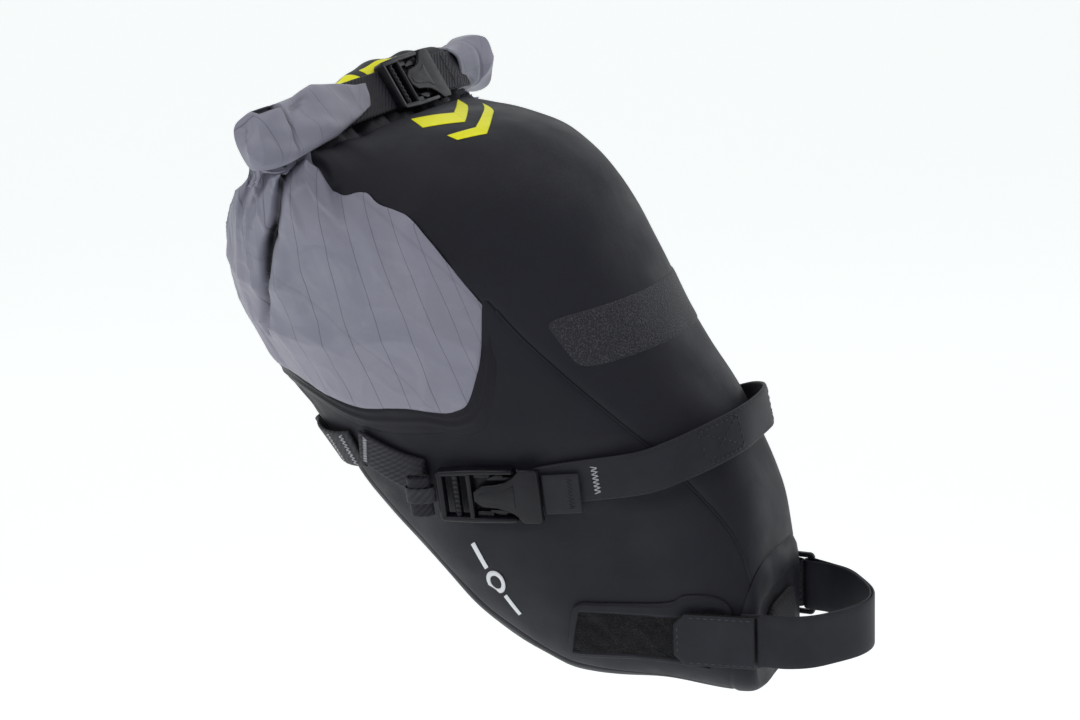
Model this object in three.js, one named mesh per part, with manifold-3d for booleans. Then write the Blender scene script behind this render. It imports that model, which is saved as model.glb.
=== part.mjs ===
// A roll-top bicycle saddle bag. Millimetres; +X points forwards in riding direction, +Y to the
// bike's left and +Z up the seatpost. The origin is on the seatpost's axis, at the middle of the
// seatpost strap, so the bag reaches back to -X and up to +Z from there.
import * as THREE from 'three';
import * as BufferGeometryUtils from 'three/addons/utils/BufferGeometryUtils.js';
import Module from 'manifold-3d';

const wasm = await Module();
wasm.setup();

// ---------------------------------------------------------------- driving dimensions

// The stuffed body, as stations from the nose to the roll: the mid-line point under the belly, the
// mid-line point on top, half the width, and how square the section is (2 is an ellipse).
const STATIONS = [
  { belly: [-22, -23], top: [-22, 10], halfWidth: 26, square: 3.6 },
  { belly: [-25, -30], top: [-21, 22], halfWidth: 34, square: 4.0 },
  { belly: [-62, -33], top: [-24, 57], halfWidth: 38, square: 3.3 },
  { belly: [-104, -34], top: [-37, 88], halfWidth: 45, square: 2.9 },
  { belly: [-126, -28], top: [-50, 112], halfWidth: 52, square: 2.7 },
  { belly: [-160, -6], top: [-69, 142], halfWidth: 61, square: 2.5 },
  { belly: [-200, 33], top: [-85, 173], halfWidth: 70, square: 2.3 },
  { belly: [-238, 78], top: [-101, 201], halfWidth: 76, square: 2.2 },
  { belly: [-266, 118], top: [-125, 221], halfWidth: 81, square: 2.2 },
  { belly: [-278, 158], top: [-157, 229], halfWidth: 88, square: 2.1 },
  { belly: [-264, 200], top: [-190, 228], halfWidth: 98, square: 2.0 },
  { belly: [-231, 221], top: [-206, 222], halfWidth: 108, square: 2.0 },
];
const NECK = STATIONS.length - 1;
const RINGS = 33;
const SPOKES = 36;

const FABRIC = 1.2; // laminated fabric with its seam tape
const AIR = 0.7; // between a piece and what it lies on
const SKIN = AIR + FABRIC; // height of the outer fabric's face over the liner

// Where the panels meet, as [station, degrees round from the top mid-line].
const CREASE = [[1.25, 51], [3, 52], [4.5, 56], [6.75, 64], [8.2, 59], [NECK, 56]];
const GREY_FRONT = [
  [64, 6.75], [74, 6.25], [83, 6.1], [98, 6.35], [115, 6.87], [142, 7.7], [180, 7.9],
]; // [degrees, station]
const BASE_EDGE = 142; // degrees round from the top mid-line, where the sides meet the base
const BAND_STATIONS = 0.2; // width of the welded band, in stations
const NOSE_SEAM = 1.25; // station where the nose boot ends

const POST_RADIUS = 15.8; // the largest usual seatpost, 31.6 mm across
const PAD = { depth: 2.4, halfWidth: 20, low: -20, high: 8, round: 6 };
const NOSE_FACE_X = -POST_RADIUS - PAD.depth - AIR;

const WEBBING = { width: 20, thick: 1.6 };
const SEWN = 0.4; // between webbing and what it is sewn to
// The rail strap's route down one side, as [station, degrees]: belly, light loop, buckle, crease.
const RAIL_ROUTE = [
  [7.0, 180], [6.92, 152], [6.5, 124], [5.9, 108], [5.08, 90], [4.55, 78], [4.0, 64], [3.75, 57],
];
const BUCKLE_STOP = 4; // where the side buckle sits along that route
const LOOP_END = [6.62, 129];
const ANCHOR_ROUTE = [[6.48, 123.5], [5.98, 110]];
const RING_TAB = { route: [[1.42, 98], [2.1, 101]], width: 24 };
// Its top span, as [station, degrees, height over the bag], stands clear for the saddle's rails.
const SPAN_ROUTE = [[3.95, 62.5, 2.5], [3.6, 50, 3], [3.3, 34, 6], [3.12, 16, 8.5], [3.08, 0, 9.2]];

const POST_STRAP = { width: 25, thick: 1.1, reach: 24.5, side: 36, layer: 1.5 };
const STRAP_TIP = { front: [-17.5, -39.2], rear: [-54, -45.2], thick: 1.1, air: 0.3 };
// Edges as stations (front, and rear from its upper to its lower corner) and degrees (front to rear).
const HOOK_PATCH = { front: 1.5, rear: [3.95, 3.6], upper: [82, 104], lower: [112, 131], thick: 1.1 };
const RING = { x: -14, y: 37.95, bar: 1.2, halfHeight: 14.6, depth: 9 };

// Side-release buckle for 20 mm webbing: x runs from the adjuster to the clip's webbing, y across
// it and z out from the bag; its halves meet near x = 0.
const BUCKLE = { halfWidth: 13.4, floor: 2, low: 0.6, top: 6.6, arm: 2.8, tail: -41, bay: -24.6, mouth: -4 };
const CLIP = { rear: 8, noseTip: -24, nose: 5.6, low: 2.9, plate: 4.9, shoulder: -4.4 };
const PRONG = { tip: -17, root: -3.2, thick: 1.6 };
const SLOT = { half: 10.4, round: 0.8 }; // an opening for webbing: half its length, corner radius
const CLIP_LOOP = { length: 17, bend: 0.0035 }; // the sewn webbing loop behind the clip

const ROLL = { x: -218, z: 235, radius: 10, halfLength: 110 };
const FLAP = { nearFrom: -112, nearTo: -14, farFrom: 78, farTo: 113 };
const ROLL_BUCKLE = { y: 36, lean: 30 }; // lean: how far its face looks up from forwards, degrees

// ---------------------------------------------------------------- materials

const finish = (color, roughness) => new THREE.MeshStandardMaterial({ color, roughness, metalness: 0 });
const BLACK_FABRIC = finish(0x1d1d23, 0.75);
const GREY_FABRIC = finish(0x82828f, 0.7);
const LINER = finish(0x55555e, 0.8);
const STRAP = finish(0x26262c, 0.85);
const PLASTIC = finish(0x17171a, 0.45);
const RUBBER = finish(0x232327, 0.9);
const HOOK = finish(0x101012, 0.95);
const PATCH = finish(0x3b3b43, 0.85);

// ---------------------------------------------------------------- small helpers

const degrees = THREE.MathUtils.degToRad;
const lerp = THREE.MathUtils.lerp;
const object = new THREE.Group();

function add(name, geometry, material) {
  const mesh = new THREE.Mesh(geometry, material);
  mesh.name = name;
  object.add(mesh);
  return mesh;
}

// A smooth curve through [place, value] pairs, level outside them.
function through(pairs, place) {
  const last = pairs.length - 1;
  if (place <= pairs[0][0]) return pairs[0][1];
  if (place >= pairs[last][0]) return pairs[last][1];
  const i = pairs.findIndex((pair) => pair[0] > place) - 1;
  const slope = (k) => {
    const [before, after] = [pairs[Math.max(k - 1, 0)], pairs[Math.min(k + 1, last)]];
    return (after[1] - before[1]) / (after[0] - before[0]);
  };
  const span = pairs[i + 1][0] - pairs[i][0];
  const t = (place - pairs[i][0]) / span;
  const bend = t * (1 - t) * span * ((1 - t) * slope(i) - t * slope(i + 1));
  return lerp(pairs[i][1], pairs[i + 1][1], t * t * (3 - 2 * t)) + bend;
}

// A closed mesh from a grid of outer and inner points: rows of equal length, joined at their edges.
function slab(outer, inner) {
  const rows = outer.length;
  const columns = outer[0].length;
  const positions = [];
  for (const face of [outer, inner]) {
    for (const row of face) for (const point of row) positions.push(point.x, point.y, point.z);
  }
  const index = [];
  const at = (side, r, c) => (side * rows + r) * columns + c;
  const quad = (a, b, c, d) => index.push(a, b, c, a, c, d);
  for (let r = 0; r + 1 < rows; r += 1) {
    for (let c = 0; c + 1 < columns; c += 1) {
      quad(at(0, r, c), at(0, r, c + 1), at(0, r + 1, c + 1), at(0, r + 1, c));
      quad(at(1, r, c), at(1, r + 1, c), at(1, r + 1, c + 1), at(1, r, c + 1));
    }
    quad(at(0, r, 0), at(0, r + 1, 0), at(1, r + 1, 0), at(1, r, 0));
    const end = columns - 1;
    quad(at(0, r + 1, end), at(0, r, end), at(1, r, end), at(1, r + 1, end));
  }
  for (let c = 0; c + 1 < columns; c += 1) {
    quad(at(0, 0, c + 1), at(0, 0, c), at(1, 0, c), at(1, 0, c + 1));
    quad(at(0, rows - 1, c), at(0, rows - 1, c + 1), at(1, rows - 1, c + 1), at(1, rows - 1, c));
  }
  const geometry = new THREE.BufferGeometry();
  geometry.setAttribute('position', new THREE.Float32BufferAttribute(positions, 3));
  geometry.setIndex(index);
  return facesOut(geometry);
}

function volume(geometry) {
  const p = geometry.getAttribute('position');
  const index = geometry.getIndex();
  const [a, b, c] = [new THREE.Vector3(), new THREE.Vector3(), new THREE.Vector3()];
  let sum = 0;
  for (let i = 0; i < index.count; i += 3) {
    a.fromBufferAttribute(p, index.getX(i));
    b.fromBufferAttribute(p, index.getX(i + 1));
    c.fromBufferAttribute(p, index.getX(i + 2));
    sum += a.dot(b.cross(c)) / 6;
  }
  return sum;
}

function flip(geometry) {
  const index = geometry.getIndex().array;
  for (let i = 0; i < index.length; i += 3) [index[i], index[i + 1]] = [index[i + 1], index[i]];
  return geometry;
}

const facesOut = (geometry) => (volume(geometry) < 0 ? flip(geometry) : geometry);

// The same piece on the bike's other side.
function mirrored(geometry) {
  const copy = bare(geometry);
  copy.scale(1, -1, 1);
  return facesOut(copy);
}

// Only positions, with shared vertices merged, as a boolean needs.
function bare(geometry) {
  const copy = geometry.clone();
  for (const name of Object.keys(copy.attributes)) if (name !== 'position') copy.deleteAttribute(name);
  return BufferGeometryUtils.mergeVertices(copy, 1e-4);
}

function toSolid(geometry) {
  const clean = bare(geometry);
  return new wasm.Manifold(new wasm.Mesh({
    numProp: 3,
    vertProperties: new Float32Array(clean.getAttribute('position').array),
    triVerts: new Uint32Array(clean.getIndex().array),
  }));
}

function fromSolid(solid) {
  const mesh = solid.getMesh();
  const geometry = new THREE.BufferGeometry();
  geometry.setAttribute('position', new THREE.BufferAttribute(mesh.vertProperties, 3));
  geometry.setIndex(new THREE.BufferAttribute(mesh.triVerts, 1));
  return geometry;
}

function box(x0, x1, y0, y1, z0, z1) {
  const geometry = new THREE.BoxGeometry(x1 - x0, y1 - y0, z1 - z0);
  return geometry.translate((x0 + x1) / 2, (y0 + y1) / 2, (z0 + z1) / 2);
}

// A flat plate from an outline, between two heights, its long edges eased by a small bevel.
function plate(shape, low, high, bevel = 0, steps = 5) {
  const geometry = new THREE.ExtrudeGeometry(shape, {
    depth: high - low - 2 * bevel,
    bevelEnabled: bevel > 0,
    bevelThickness: bevel,
    bevelSize: bevel,
    bevelOffset: -bevel,
    bevelSegments: 1,
    curveSegments: steps,
  });
  return geometry.translate(0, 0, low + bevel);
}

function roundedRect(x0, x1, y0, y1, r, path = new THREE.Shape()) {
  path.moveTo(x0 + r, y0);
  path.lineTo(x1 - r, y0);
  path.absarc(x1 - r, y0 + r, r, -Math.PI / 2, 0, false);
  path.lineTo(x1, y1 - r);
  path.absarc(x1 - r, y1 - r, r, 0, Math.PI / 2, false);
  path.lineTo(x0 + r, y1);
  path.absarc(x0 + r, y1 - r, r, Math.PI / 2, Math.PI, false);
  path.lineTo(x0, y0 + r);
  path.absarc(x0 + r, y0 + r, r, Math.PI, 1.5 * Math.PI, false);
  return path;
}

// ---------------------------------------------------------------- the body's surface

const curveOf = (point) => new THREE.CatmullRomCurve3(STATIONS.map(point), false, 'catmullrom', 0.5);
const bellyCurve = curveOf((s) => new THREE.Vector3(s.belly[0], 0, s.belly[1]));
const topCurve = curveOf((s) => new THREE.Vector3(s.top[0], 0, s.top[1]));
const sizeCurve = curveOf((s) => new THREE.Vector3(s.halfWidth, s.square, 0));

const signedPower = (value, power) => Math.sign(value) * Math.abs(value) ** power;

// A point of the body at a station (whole or between two) and an angle round from the top mid-line,
// where 90 degrees is the bike's right side.
function bodyPoint(station, angle) {
  const t = Math.min(Math.max(station / NECK, 0), 1);
  const belly = bellyCurve.getPoint(t);
  const top = topCurve.getPoint(t);
  const size = sizeCurve.getPoint(t);
  const up = signedPower(Math.cos(degrees(angle)), 2 / size.y);
  const side = signedPower(Math.sin(degrees(angle)), 2 / size.y);
  const point = belly.lerp(top, (up + 1) / 2);
  point.y = -side * size.x;
  return point;
}

function bodyNormal(station, angle) {
  const s = 0.05;
  const a = 1.5;
  const ahead = bodyPoint(Math.min(station + s, NECK), angle);
  const along = ahead.sub(bodyPoint(Math.max(station - s, 0), angle));
  const round = bodyPoint(station, angle + a).sub(bodyPoint(station, angle - a));
  return along.cross(round).normalize();
}

const onBody = (station, angle, height) =>
  bodyPoint(station, angle).addScaledVector(bodyNormal(station, angle), height);

// A piece of fabric on the body. place(a, b) gives [station, angle] for a and b from 0 to 1.
function fabric(place, rows, columns, height, thickness) {
  const grid = (lift) => Array.from({ length: rows + 1 }, (_, r) =>
    Array.from({ length: columns + 1 }, (_, c) => onBody(...place(r / rows, c / columns), lift)));
  return slab(grid(height + thickness), grid(height));
}

// A flat strap along points, each with the way its outer face looks.
function ribbon(points, faces, width, thickness) {
  const last = points.length - 1;
  const outer = [];
  const inner = [];
  points.forEach((point, i) => {
    const along = points[Math.min(i + 1, last)].clone().sub(points[Math.max(i - 1, 0)]).normalize();
    const across = along.clone().cross(faces[i]).normalize();
    const out = across.clone().cross(along).normalize();
    const edge = (side) => point.clone().addScaledVector(across, (side * width) / 2);
    inner.push([edge(1), edge(-1)]);
    outer.push([edge(1), edge(-1)].map((corner) => corner.addScaledVector(out, thickness)));
  });
  return slab(outer, inner);
}

// A strap that lies on the body from one [station, angle] to the next.
function bodyStrap(route, height, thickness, width, step = 6) {
  const stationLength = 40;
  const rough = new THREE.CatmullRomCurve3(route.map(([s, a]) => new THREE.Vector3(s * stationLength, a, 0)));
  const count = Math.max(2, Math.round(rough.getLength() / step));
  const places = rough.getSpacedPoints(count).map((p) => [p.x / stationLength, p.y]);
  const points = places.map(([s, a]) => onBody(s, a, height));
  return ribbon(points, places.map(([s, a]) => bodyNormal(s, a)), width, thickness);
}

// ---------------------------------------------------------------- body panels

function liner() {
  const positions = [];
  const index = [];
  for (let r = 0; r <= RINGS; r += 1) {
    for (let c = 0; c < SPOKES; c += 1) {
      const p = bodyPoint((r / RINGS) * NECK, (c / SPOKES) * 360);
      positions.push(p.x, p.y, p.z);
    }
  }
  for (let r = 0; r < RINGS; r += 1) {
    for (let c = 0; c < SPOKES; c += 1) {
      const [a, b] = [r * SPOKES + c, r * SPOKES + ((c + 1) % SPOKES)];
      index.push(a, b, b + SPOKES, a, b + SPOKES, a + SPOKES);
    }
  }
  [0, RINGS].forEach((ring) => {
    const middle = bodyPoint((ring / RINGS) * NECK, 0).lerp(bodyPoint((ring / RINGS) * NECK, 180), 0.5);
    const hub = positions.length / 3;
    positions.push(middle.x, 0, middle.z);
    for (let c = 0; c < SPOKES; c += 1) {
      const [a, b] = [ring * SPOKES + c, ring * SPOKES + ((c + 1) % SPOKES)];
      index.push(...(ring === 0 ? [hub, b, a] : [hub, a, b]));
    }
  });
  const geometry = new THREE.BufferGeometry();
  geometry.setAttribute('position', new THREE.Float32BufferAttribute(positions, 3));
  geometry.setIndex(index);
  return facesOut(geometry);
}

const PANEL_GAP = 0.025; // in stations
const SEAM_ANGLE = 0.5; // in degrees
const NECK_HEM = 0.1; // in stations, left free under the roll
const creaseAt = (station) => through(CREASE, station);
const greyFrontAt = (angle) => through(GREY_FRONT, angle > 180 ? 360 - angle : angle);

function topPanel(a, b) {
  const station = lerp(NOSE_SEAM + PANEL_GAP, NECK - NECK_HEM, a);
  const edge = creaseAt(station) - SEAM_ANGLE;
  return [station, lerp(-edge, edge, b)];
}

function sidePanel(a, b) {
  const edge = creaseAt(lerp(NOSE_SEAM, GREY_FRONT[0][1], a)) + SEAM_ANGLE;
  const angle = lerp(edge, BASE_EDGE - SEAM_ANGLE, b);
  return [lerp(NOSE_SEAM + PANEL_GAP, greyFrontAt(angle) - PANEL_GAP, a), angle];
}

function basePanel(a, b) {
  const angle = lerp(BASE_EDGE + SEAM_ANGLE, 360 - BASE_EDGE - SEAM_ANGLE, b);
  return [lerp(NOSE_SEAM + PANEL_GAP, greyFrontAt(angle) - PANEL_GAP, a), angle];
}

function rearPanel(a, b) {
  const edge = creaseAt(lerp(GREY_FRONT[0][1], NECK, a)) + SEAM_ANGLE;
  const angle = lerp(edge, 360 - edge, b);
  return [lerp(greyFrontAt(angle) + PANEL_GAP, NECK - NECK_HEM, a), angle];
}

function weldBand(a, b) {
  const angle = lerp(66, 294, b);
  return [greyFrontAt(angle) - BAND_STATIONS * (1 - a), angle];
}

const PATCH_ROUTE = { middle: 5.05, lean: 0.66, half: 0.37, edge: 54 };

function topPatch(a, b) {
  const angle = lerp(-PATCH_ROUTE.edge, PATCH_ROUTE.edge, b);
  const middle = PATCH_ROUTE.middle + PATCH_ROUTE.lean * (angle / PATCH_ROUTE.edge) ** 2;
  return [middle + PATCH_ROUTE.half * (2 * a - 1), angle];
}

// The boot closes the nose: a cup over the first stations with a flat front for the friction pad.
function noseBoot() {
  const stations = [0.04, 1 / 3, 2 / 3, 1, NOSE_SEAM];
  const faces = [
    { lift: SKIN, front: NOSE_FACE_X },
    { lift: AIR, front: NOSE_FACE_X - FABRIC },
  ];
  const positions = [];
  const index = [];
  for (const { lift, front } of faces) {
    for (const station of stations) {
      for (let c = 0; c < SPOKES; c += 1) {
        const point = onBody(station, (c / SPOKES) * 360, lift);
        positions.push(station === stations[0] ? front : point.x, point.y, point.z);
      }
    }
  }
  const at = (face, r, c) => (face * stations.length + r) * SPOKES + (c % SPOKES);
  const rim = stations.length - 1;
  for (let c = 0; c < SPOKES; c += 1) {
    for (let r = 0; r < rim; r += 1) {
      index.push(at(0, r, c), at(0, r, c + 1), at(0, r + 1, c + 1));
      index.push(at(0, r, c), at(0, r + 1, c + 1), at(0, r + 1, c));
      index.push(at(1, r, c), at(1, r + 1, c + 1), at(1, r, c + 1));
      index.push(at(1, r, c), at(1, r + 1, c), at(1, r + 1, c + 1));
    }
    index.push(at(0, rim, c), at(0, rim, c + 1), at(1, rim, c + 1));
    index.push(at(0, rim, c), at(1, rim, c + 1), at(1, rim, c));
  }
  faces.forEach(({ front }, face) => {
    const hub = positions.length / 3;
    positions.push(front, 0, (PAD.low + PAD.high) / 2);
    for (let c = 0; c < SPOKES; c += 1) {
      const edge = [at(face, 0, c + 1), at(face, 0, c)];
      index.push(hub, ...(face === 0 ? edge : edge.reverse()));
    }
  });
  const geometry = new THREE.BufferGeometry();
  geometry.setAttribute('position', new THREE.Float32BufferAttribute(positions, 3));
  geometry.setIndex(index);
  return facesOut(geometry);
}

function frictionPad() {
  const shape = roundedRect(PAD.low, PAD.high, -PAD.halfWidth, PAD.halfWidth, PAD.round);
  const geometry = plate(shape, 0, PAD.depth);
  // the outline's x becomes Z, its y becomes Y and its height becomes X
  geometry.applyMatrix4(new THREE.Matrix4().set(0, 0, 1, 0, 0, 1, 0, 0, 1, 0, 0, 0, 0, 0, 0, 1));
  geometry.translate(-POST_RADIUS - PAD.depth, 0, 0);
  return facesOut(bare(geometry));
}

// ---------------------------------------------------------------- straps

// The top span runs from crease to crease, its middle standing clear of the bag.
function railSpan() {
  const half = SPAN_ROUTE.map(([station, angle, lift]) => onBody(station, angle, SKIN + lift));
  const other = half.slice(0, -1).map((p) => new THREE.Vector3(p.x, -p.y, p.z)).reverse();
  const curve = new THREE.CatmullRomCurve3([...half, ...other], false, 'centripetal');
  const count = 24;
  const faces = Array.from({ length: count + 1 }, (_, i) => {
    const at = Math.abs(1 - (2 * i) / count);
    const [station, angle] = [lerp(SPAN_ROUTE[4][0], SPAN_ROUTE[0][0], at), at * SPAN_ROUTE[0][1]];
    const face = bodyNormal(station, i > count / 2 ? -angle : angle);
    face.z *= lerp(0.2, 1, at);
    const along = curve.getTangentAt(i / count);
    return face.addScaledVector(along, -face.dot(along)).normalize();
  });
  return ribbon(curve.getSpacedPoints(count), faces, WEBBING.width, WEBBING.thick);
}

// A strap standing on edge along a plan route, given by its middle layer.
function standing(points, width, thickness) {
  const last = points.length - 1;
  const edge = (lift, z) => points.map((p, i) => {
    const along = points[Math.min(i + 1, last)].clone().sub(points[Math.max(i - 1, 0)]).normalize();
    return new THREE.Vector3(p.x + along.y * lift, p.y - along.x * lift, z);
  });
  const rows = (lift) => {
    const [low, high] = [edge(lift, -width / 2), edge(lift, width / 2)];
    return low.map((p, i) => [p, high[i]]);
  };
  return slab(rows(thickness / 2), rows(-thickness / 2));
}

// The seatpost strap is sewn to the nose's right side, runs round the post, turns back through the
// ring on the left, and comes round again outside itself.
function postStrap() {
  const { side, reach, layer } = POST_STRAP;
  const half = (out) => [
    [-14, side - 0.2 + out], [-4, side - 1.4 + out], [6, side - 6 + out], [15, side - 15 + 0.8 * out],
    [reach - 2.4 + out, 10], [reach + out, 0],
  ];
  const loop = (out) => {
    const near = half(out).map(([x, y]) => new THREE.Vector3(x, -y, 0));
    const far = half(out).slice(0, -1).reverse().map(([x, y]) => new THREE.Vector3(x, y, 0));
    return [...near, ...far];
  };
  const sewnEnd = new THREE.Vector3(-24.5, -side - 1.9, 0);
  const first = new THREE.CatmullRomCurve3([sewnEnd, ...loop(0)], false, 'centripetal');
  const ringEnd = loop(0).at(-1);
  const turn = RING.y - ringEnd.y;
  const second = loop(layer).reverse();
  second[0].y = RING.y + turn;
  second.push(new THREE.Vector3(STRAP_TIP.front[0] + 1, STRAP_TIP.front[1] + 0.1, 0));
  const points = first.getSpacedPoints(36);
  for (let i = 1; i < 8; i += 1) {
    const angle = -Math.PI / 2 - (i / 8) * Math.PI;
    points.push(new THREE.Vector3(RING.x + turn * Math.cos(angle), RING.y + turn * Math.sin(angle), 0));
  }
  points.push(...new THREE.CatmullRomCurve3(second, false, 'centripetal').getSpacedPoints(36));
  return standing(points, POST_STRAP.width, POST_STRAP.thick);
}

function strapTip(layer) {
  const [front, rear] = [STRAP_TIP.front, STRAP_TIP.rear].map(([x, y]) => new THREE.Vector3(x, y, 0));
  const along = front.clone().sub(rear);
  const length = along.length();
  const cut = 5; // chamfer at the free end
  const w = POST_STRAP.width / 2;
  const shape = new THREE.Shape();
  shape.moveTo(0, -w + cut);
  shape.lineTo(cut, -w);
  shape.lineTo(length, -w);
  shape.lineTo(length, w);
  shape.lineTo(cut, w);
  shape.lineTo(0, w - cut);
  shape.closePath();
  const low = layer * (STRAP_TIP.thick + STRAP_TIP.air);
  return placed(plate(shape, low, low + STRAP_TIP.thick), {
    origin: rear, along, out: new THREE.Vector3(along.y, -along.x, 0),
  });
}

function strapRing() {
  const { x, y, bar, halfHeight: h, depth } = RING;
  const outer = roundedRect(x - depth - bar, x + bar, -h - bar, h + bar, 2.4);
  outer.holes.push(roundedRect(x - depth + bar, x - bar, -h + bar, h - bar, 1, new THREE.Path()));
  const geometry = plate(outer, -bar, bar, 0.5, 3);
  return facesOut(bare(geometry.rotateX(Math.PI / 2).translate(0, y, 0)));
}

function hookPatch(a, b) {
  const { front, rear, upper, lower } = HOOK_PATCH;
  const angle = lerp(lerp(upper[0], upper[1], a), lerp(lower[0], lower[1], a), b);
  return [lerp(front, lerp(rear[0], rear[1], b), a), angle];
}

// ---------------------------------------------------------------- buckles

const webbingSlot = (x0, x1) => roundedRect(x0, x1, -SLOT.half, SLOT.half, SLOT.round, new THREE.Path());

function lockShell() {
  const { halfWidth: w, floor, low, top, arm, tail, bay, mouth } = BUCKLE;
  const outline = new THREE.Shape();
  outline.moveTo(tail + 2, -w + 1);
  outline.lineTo(bay, -w);
  outline.lineTo(mouth, -w);
  outline.lineTo(mouth, w);
  outline.lineTo(bay, w);
  outline.lineTo(tail + 2, w - 1);
  outline.quadraticCurveTo(tail, w - 1, tail, w - 3);
  outline.lineTo(tail, -w + 3);
  outline.quadraticCurveTo(tail, -w + 1, tail + 2, -w + 1);
  for (const [x0, x1] of [[tail + 3, tail + 7.5], [bay - 6, bay - 2]]) {
    outline.holes.push(webbingSlot(x0, x1));
  }
  const block = toSolid(plate(outline, low, top, 0.5, 3));
  const recess = toSolid(box(bay, mouth + 1, -w + arm, w - arm, floor, top + 1));
  return fromSolid(block.subtract(recess));
}

function clipPlate() {
  const { halfWidth: w, top } = BUCKLE;
  const { rear, noseTip, nose, low, plate: cover, shoulder } = CLIP;
  const outline = new THREE.Shape();
  outline.moveTo(noseTip + 2.5, -nose + 1.6);
  outline.lineTo(noseTip + 5, -nose);
  outline.lineTo(-13, -nose - 0.5);
  outline.lineTo(shoulder, -9.4);
  outline.lineTo(-1, -w);
  outline.lineTo(rear - 1.5, -w);
  outline.quadraticCurveTo(rear, -w, rear, -w + 1.5);
  outline.lineTo(rear, w - 1.5);
  outline.quadraticCurveTo(rear, w, rear - 1.5, w);
  outline.lineTo(-1, w);
  outline.lineTo(shoulder, 9.4);
  outline.lineTo(-13, nose + 0.5);
  outline.lineTo(noseTip + 5, nose);
  outline.lineTo(noseTip + 2.5, nose - 1.6);
  outline.quadraticCurveTo(noseTip, 0, noseTip + 2.5, -nose + 1.6);
  outline.holes.push(webbingSlot(0.8, 4.6));
  const spade = toSolid(plate(outline, cover, top, 0.4, 3));
  const guide = toSolid(box(-15, -1, -4.2, 4.2, low, cover + 0.6));
  const under = roundedRect(-2.6, rear, -w, w, 1.2);
  under.holes.push(webbingSlot(0.8, 4.6));
  const base = toSolid(plate(under, low, cover + 0.6, 0, 3));
  return fromSolid(spade.add(guide).add(base));
}

// One flexible arm of the clip, on the +y side; it turns about an axis at its root.
function clipProng() {
  const { tip, root, thick } = PRONG;
  const outline = new THREE.Shape();
  outline.moveTo(root, 6.6);
  outline.lineTo(root, 9);
  outline.lineTo(-9, 9.2);
  outline.lineTo(-9.5, 10.2);
  outline.lineTo(-12.5, 10.2);
  outline.lineTo(tip, 8.4);
  outline.lineTo(tip, 7.2);
  outline.lineTo(-12, 7.2);
  outline.closePath();
  return plate(outline, CLIP.low, CLIP.low + thick);
}

// Stands a buckle-frame geometry on the bag: origin, the way x runs and the way z looks.
function placed(geometry, frame) {
  const x = frame.along.clone().normalize();
  const y = frame.out.clone().cross(x).normalize();
  const z = x.clone().cross(y).normalize();
  const matrix = new THREE.Matrix4().makeBasis(x, y, z).setPosition(frame.origin);
  return bare(geometry).applyMatrix4(matrix);
}

function sideFrame() {
  const around = RAIL_ROUTE.slice(BUCKLE_STOP - 1, BUCKLE_STOP + 2);
  const [behind, here, ahead] = around.map(([station, angle]) => onBody(station, angle, SKIN));
  return { origin: here, along: ahead.sub(behind), out: bodyNormal(...RAIL_ROUTE[BUCKLE_STOP]) };
}

function rollFrame() {
  const lean = degrees(ROLL_BUCKLE.lean);
  const out = new THREE.Vector3(Math.cos(lean), 0, Math.sin(lean));
  const origin = new THREE.Vector3(ROLL.x, ROLL_BUCKLE.y, ROLL.z).addScaledVector(out, ROLL.radius + 0.3);
  return { origin, along: new THREE.Vector3(0, 1, 0), out };
}

function addBuckle(prefix, frame, flipped) {
  const side = (geometry) => (flipped ? mirrored(geometry) : geometry);
  const upper = clipProng();
  const lower = mirrored(upper);
  add(`${prefix}_buckle_shell`, side(placed(lockShell(), frame)), PLASTIC);
  add(`${prefix}_clip_plate`, side(placed(clipPlate(), frame)), PLASTIC);
  add(`${prefix}_clip_prong_a`, side(placed(upper, frame)), PLASTIC);
  add(`${prefix}_clip_prong_b`, side(placed(lower, frame)), PLASTIC);
}

// The doubled webbing that holds a clip: it lies on the strap and moves with the clip.
function clipLoop(bend = 0) {
  const points = [];
  for (let i = 0; i <= 4; i += 1) {
    const x = CLIP.rear + 0.5 + (i / 4) * CLIP_LOOP.length;
    points.push(new THREE.Vector3(x, 0, CLIP.low - bend * x * x));
  }
  return ribbon(points, points.map(() => new THREE.Vector3(0, 0, 1)), WEBBING.width - 0.4, WEBBING.thick);
}

// The spare webbing behind the adjuster, rolled up and held by its own elastic.
function webbingBundle() {
  const x = BUCKLE.tail - 1.2;
  const shape = new THREE.Shape();
  shape.absellipse(x - 6.5, 6, 6.2, 3, 0, 2 * Math.PI, false);
  const options = { depth: WEBBING.width, bevelEnabled: false, curveSegments: 9 };
  const geometry = new THREE.ExtrudeGeometry(shape, options);
  return geometry.rotateX(Math.PI / 2).translate(0, WEBBING.width / 2, 0);
}

// ---------------------------------------------------------------- roll-top

// A length of the roll, as a solid or as a sleeve round it.
function rollPiece(from, to, inside, outside) {
  const shape = new THREE.Shape();
  shape.absellipse(0, 0, outside, outside, 0, 2 * Math.PI, false);
  if (inside > 0) {
    const hole = new THREE.Path();
    hole.absellipse(0, 0, inside, inside, 0, 2 * Math.PI, true);
    shape.holes.push(hole);
  }
  const options = { depth: to - from, bevelEnabled: false, curveSegments: 14 };
  const geometry = new THREE.ExtrudeGeometry(shape, options);
  geometry.rotateX(-Math.PI / 2);
  geometry.translate(ROLL.x, from, ROLL.z);
  return facesOut(bare(geometry));
}

function rollWebbing(from, to) {
  const { origin, out } = rollFrame();
  const points = [from, to].map((y) => new THREE.Vector3(origin.x, y, origin.z).addScaledVector(out, 0.2));
  return ribbon(points, points.map(() => out), WEBBING.width, WEBBING.thick);
}

// ---------------------------------------------------------------- assembly

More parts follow.
